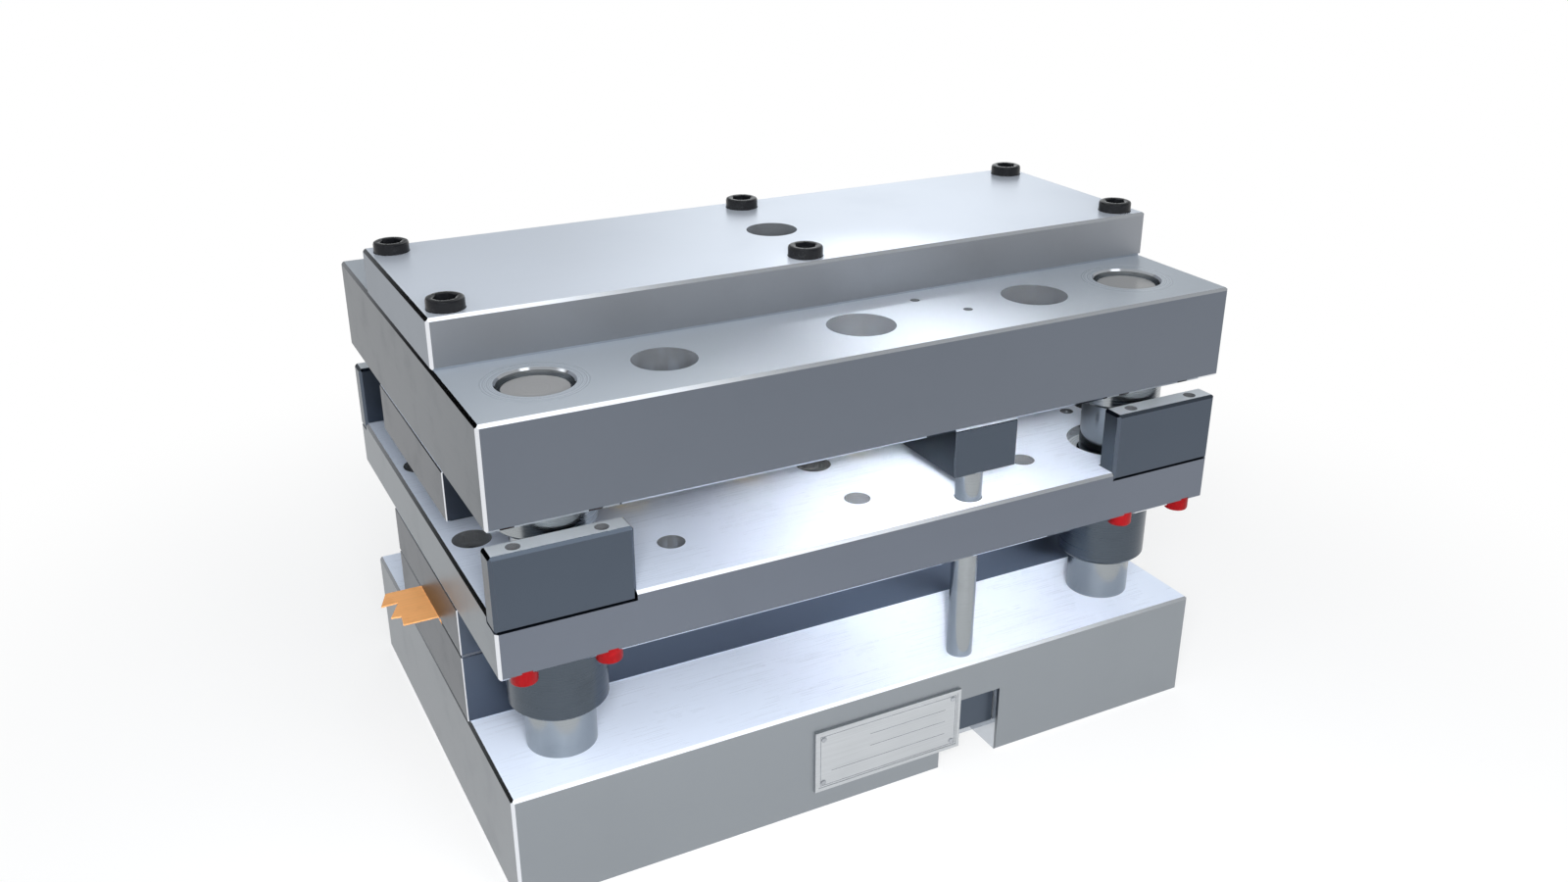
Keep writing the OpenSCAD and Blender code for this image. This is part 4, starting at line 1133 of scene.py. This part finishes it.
class DIE_OT_make_stage(DieOperator):
    """Make the floor, the studio light and the camera"""

    bl_idname = "die.make_stage"
    bl_label = "Make stage"

    def execute(self, context):
        _, _, stage = settings()
        self.make_floor(stage)
        self.make_world(stage)
        self.make_lamps()
        self.make_camera(stage)
        context.scene.view_settings.view_transform = "Standard"
        return {"FINISHED"}

    def make_floor(self, stage):
        """A pale floor, white to the camera but for the shadow round the die."""
        half = stage.floor_size / 2
        mesh = bpy.data.meshes.new("floor")
        square = [(-half, -half, 0), (half, -half, 0), (half, half, 0), (-half, half, 0)]
        mesh.from_pydata(square, [], [(0, 1, 2, 3)])
        floor = add_object("floor", mesh)
        material = bpy.data.materials.new("floor")
        wires = wires_of(material)
        path = wires.put("ShaderNodeLightPath").outputs
        seen = wires.math("MAXIMUM", path["Is Camera Ray"], path["Is Glossy Ray"])
        seen = wires.math("MAXIMUM", seen, path["Is Transmission Ray"])
        cloth = wires.put("ShaderNodeBsdfDiffuse", {"Color": rgba(stage.floor_colour)}).outputs[0]
        white = wires.put("ShaderNodeEmission", {"Strength": 1.0}).outputs[0]
        place = wires.put("ShaderNodeTexCoord").outputs["Object"]
        away = wires.put("ShaderNodeVectorMath", {0: place}, operation="LENGTH").outputs["Value"]
        shown = wires.step(away, *SHADOW_FADES, stage.floor_shadow, 0.0)
        pale = wires.put("ShaderNodeMixShader", {0: shown, 1: white, 2: cloth}).outputs[0]
        both = wires.put("ShaderNodeMixShader", {0: seen, 1: cloth, 2: pale}).outputs[0]
        wires.put("ShaderNodeOutputMaterial", {"Surface": both})
        mesh.materials.append(material)

    def make_world(self, stage):
        """A bright horizon and a dimmer studio above it, with soft windows, and white to the camera."""
        world = bpy.data.worlds.new("studio")
        bpy.context.scene.world = world
        wires = wires_of(world)
        direction = wires.put("ShaderNodeTexCoord").outputs["Generated"]
        x, y, z = wires.put("ShaderNodeSeparateXYZ", {0: direction}).outputs
        heading = wires.math("ARCTAN2", x, y)
        level = wires.math("ARCSINE", z)
        light = wires.step(level, *HORIZON, 1.0, stage.dim)
        for *angles, strength in WINDOWS:
            azimuth, elevation, width, softness, height = map(math.radians, angles)
            turned = wires.math("WRAP", wires.minus(heading, azimuth), math.pi, -math.pi)
            side = wires.math("ABSOLUTE", turned)
            across = wires.step(side, width, width + softness, strength, 0.0)
            rise = wires.math("ABSOLUTE", wires.minus(level, elevation))
            up = wires.step(rise, height / 2, height, 1.0, 0.0)
            light = wires.plus(light, wires.times(across, up))
        light = wires.math("MAXIMUM", light, 0.0)
        cool = rgba(STUDIO_TINT)
        studio = wires.put("ShaderNodeBackground", {"Color": cool, "Strength": light}).outputs[0]
        plain = rgba((1.0, 1.0, 1.0))
        white = wires.put("ShaderNodeBackground", {"Color": plain, "Strength": 1.0}).outputs[0]
        seen = wires.put("ShaderNodeLightPath").outputs["Is Camera Ray"]
        both = wires.put("ShaderNodeMixShader", {0: seen, 1: studio, 2: white}).outputs[0]
        wires.put("ShaderNodeOutputWorld", {"Surface": both})

    def make_lamps(self):
        """Soft lamps in front of the die, above it and behind it, and two narrow beams."""
        for name, row in LAMPS.items():
            self.add_lamp(name, *row)

    def add_lamp(self, name, place, size, power, aim, spread):
        """One soft lamp, hidden from the camera and from reflections. Its spread is in degrees."""
        data = bpy.data.lights.new(name, "AREA")
        data.shape = "RECTANGLE"
        data.size, data.size_y = size
        data.energy = power
        data.spread = math.radians(spread)
        lamp = add_object(name, data)
        lamp.location = place
        lamp.rotation_euler = (Vector(aim) - Vector(place)).to_track_quat("-Z", "Y").to_euler()
        lamp.visible_camera = False
        lamp.visible_glossy = False

    def make_camera(self, stage):
        """The camera of the photograph."""
        data = bpy.data.cameras.new("camera")
        data.sensor_width = 36
        data.lens = stage.lens
        camera = add_object("camera", data)
        camera.location = stage.camera_place
        camera.rotation_euler = stage.camera_turn
        bpy.context.scene.camera = camera


OPERATORS = (
    DIE_OT_finish_plates,
    DIE_OT_finish_guides,
    DIE_OT_finish_tools,
    DIE_OT_finish_strip,
    DIE_OT_finish_blocks,
    DIE_OT_make_screws,
    DIE_OT_make_springs,
    DIE_OT_make_name_plate,
    DIE_OT_make_stage,
)


class DIE_PT_panel(bpy.types.Panel):
    """Lists the die's operators and settings"""

    bl_idname = "DIE_PT_panel"
    bl_label = "Progressive die"
    bl_space_type = "VIEW_3D"
    bl_region_type = "UI"
    bl_category = "Die"

    def draw(self, context):
        for operator in OPERATORS:
            self.layout.operator(operator.bl_idname)
        for name, kind in SETTINGS.items():
            for label in kind.__annotations__:
                self.layout.prop(getattr(context.scene, name), label)


SETTINGS = {"die_finish": DieFinish, "die_fasteners": DieFasteners, "die_stage": DieStage}


def register():
    """Registers the settings, the operators and the panel."""
    for kind in (*SETTINGS.values(), *OPERATORS, DIE_PT_panel):
        bpy.utils.register_class(kind)
    for name, kind in SETTINGS.items():
        setattr(bpy.types.Scene, name, PointerProperty(type=kind))


def unregister():
    """Takes back what register did."""
    for name in SETTINGS:
        delattr(bpy.types.Scene, name)
    for kind in (DIE_PT_panel, *reversed(OPERATORS), *reversed(SETTINGS.values())):
        bpy.utils.unregister_class(kind)


def main():
    """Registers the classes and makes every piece."""
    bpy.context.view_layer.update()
    register()
    DieOperator.groups.update(shader_groups())
    for operator in OPERATORS:
        family, action = operator.bl_idname.split(".")
        getattr(getattr(bpy.ops, family), action)()


if __name__ == "__main__":
    main()
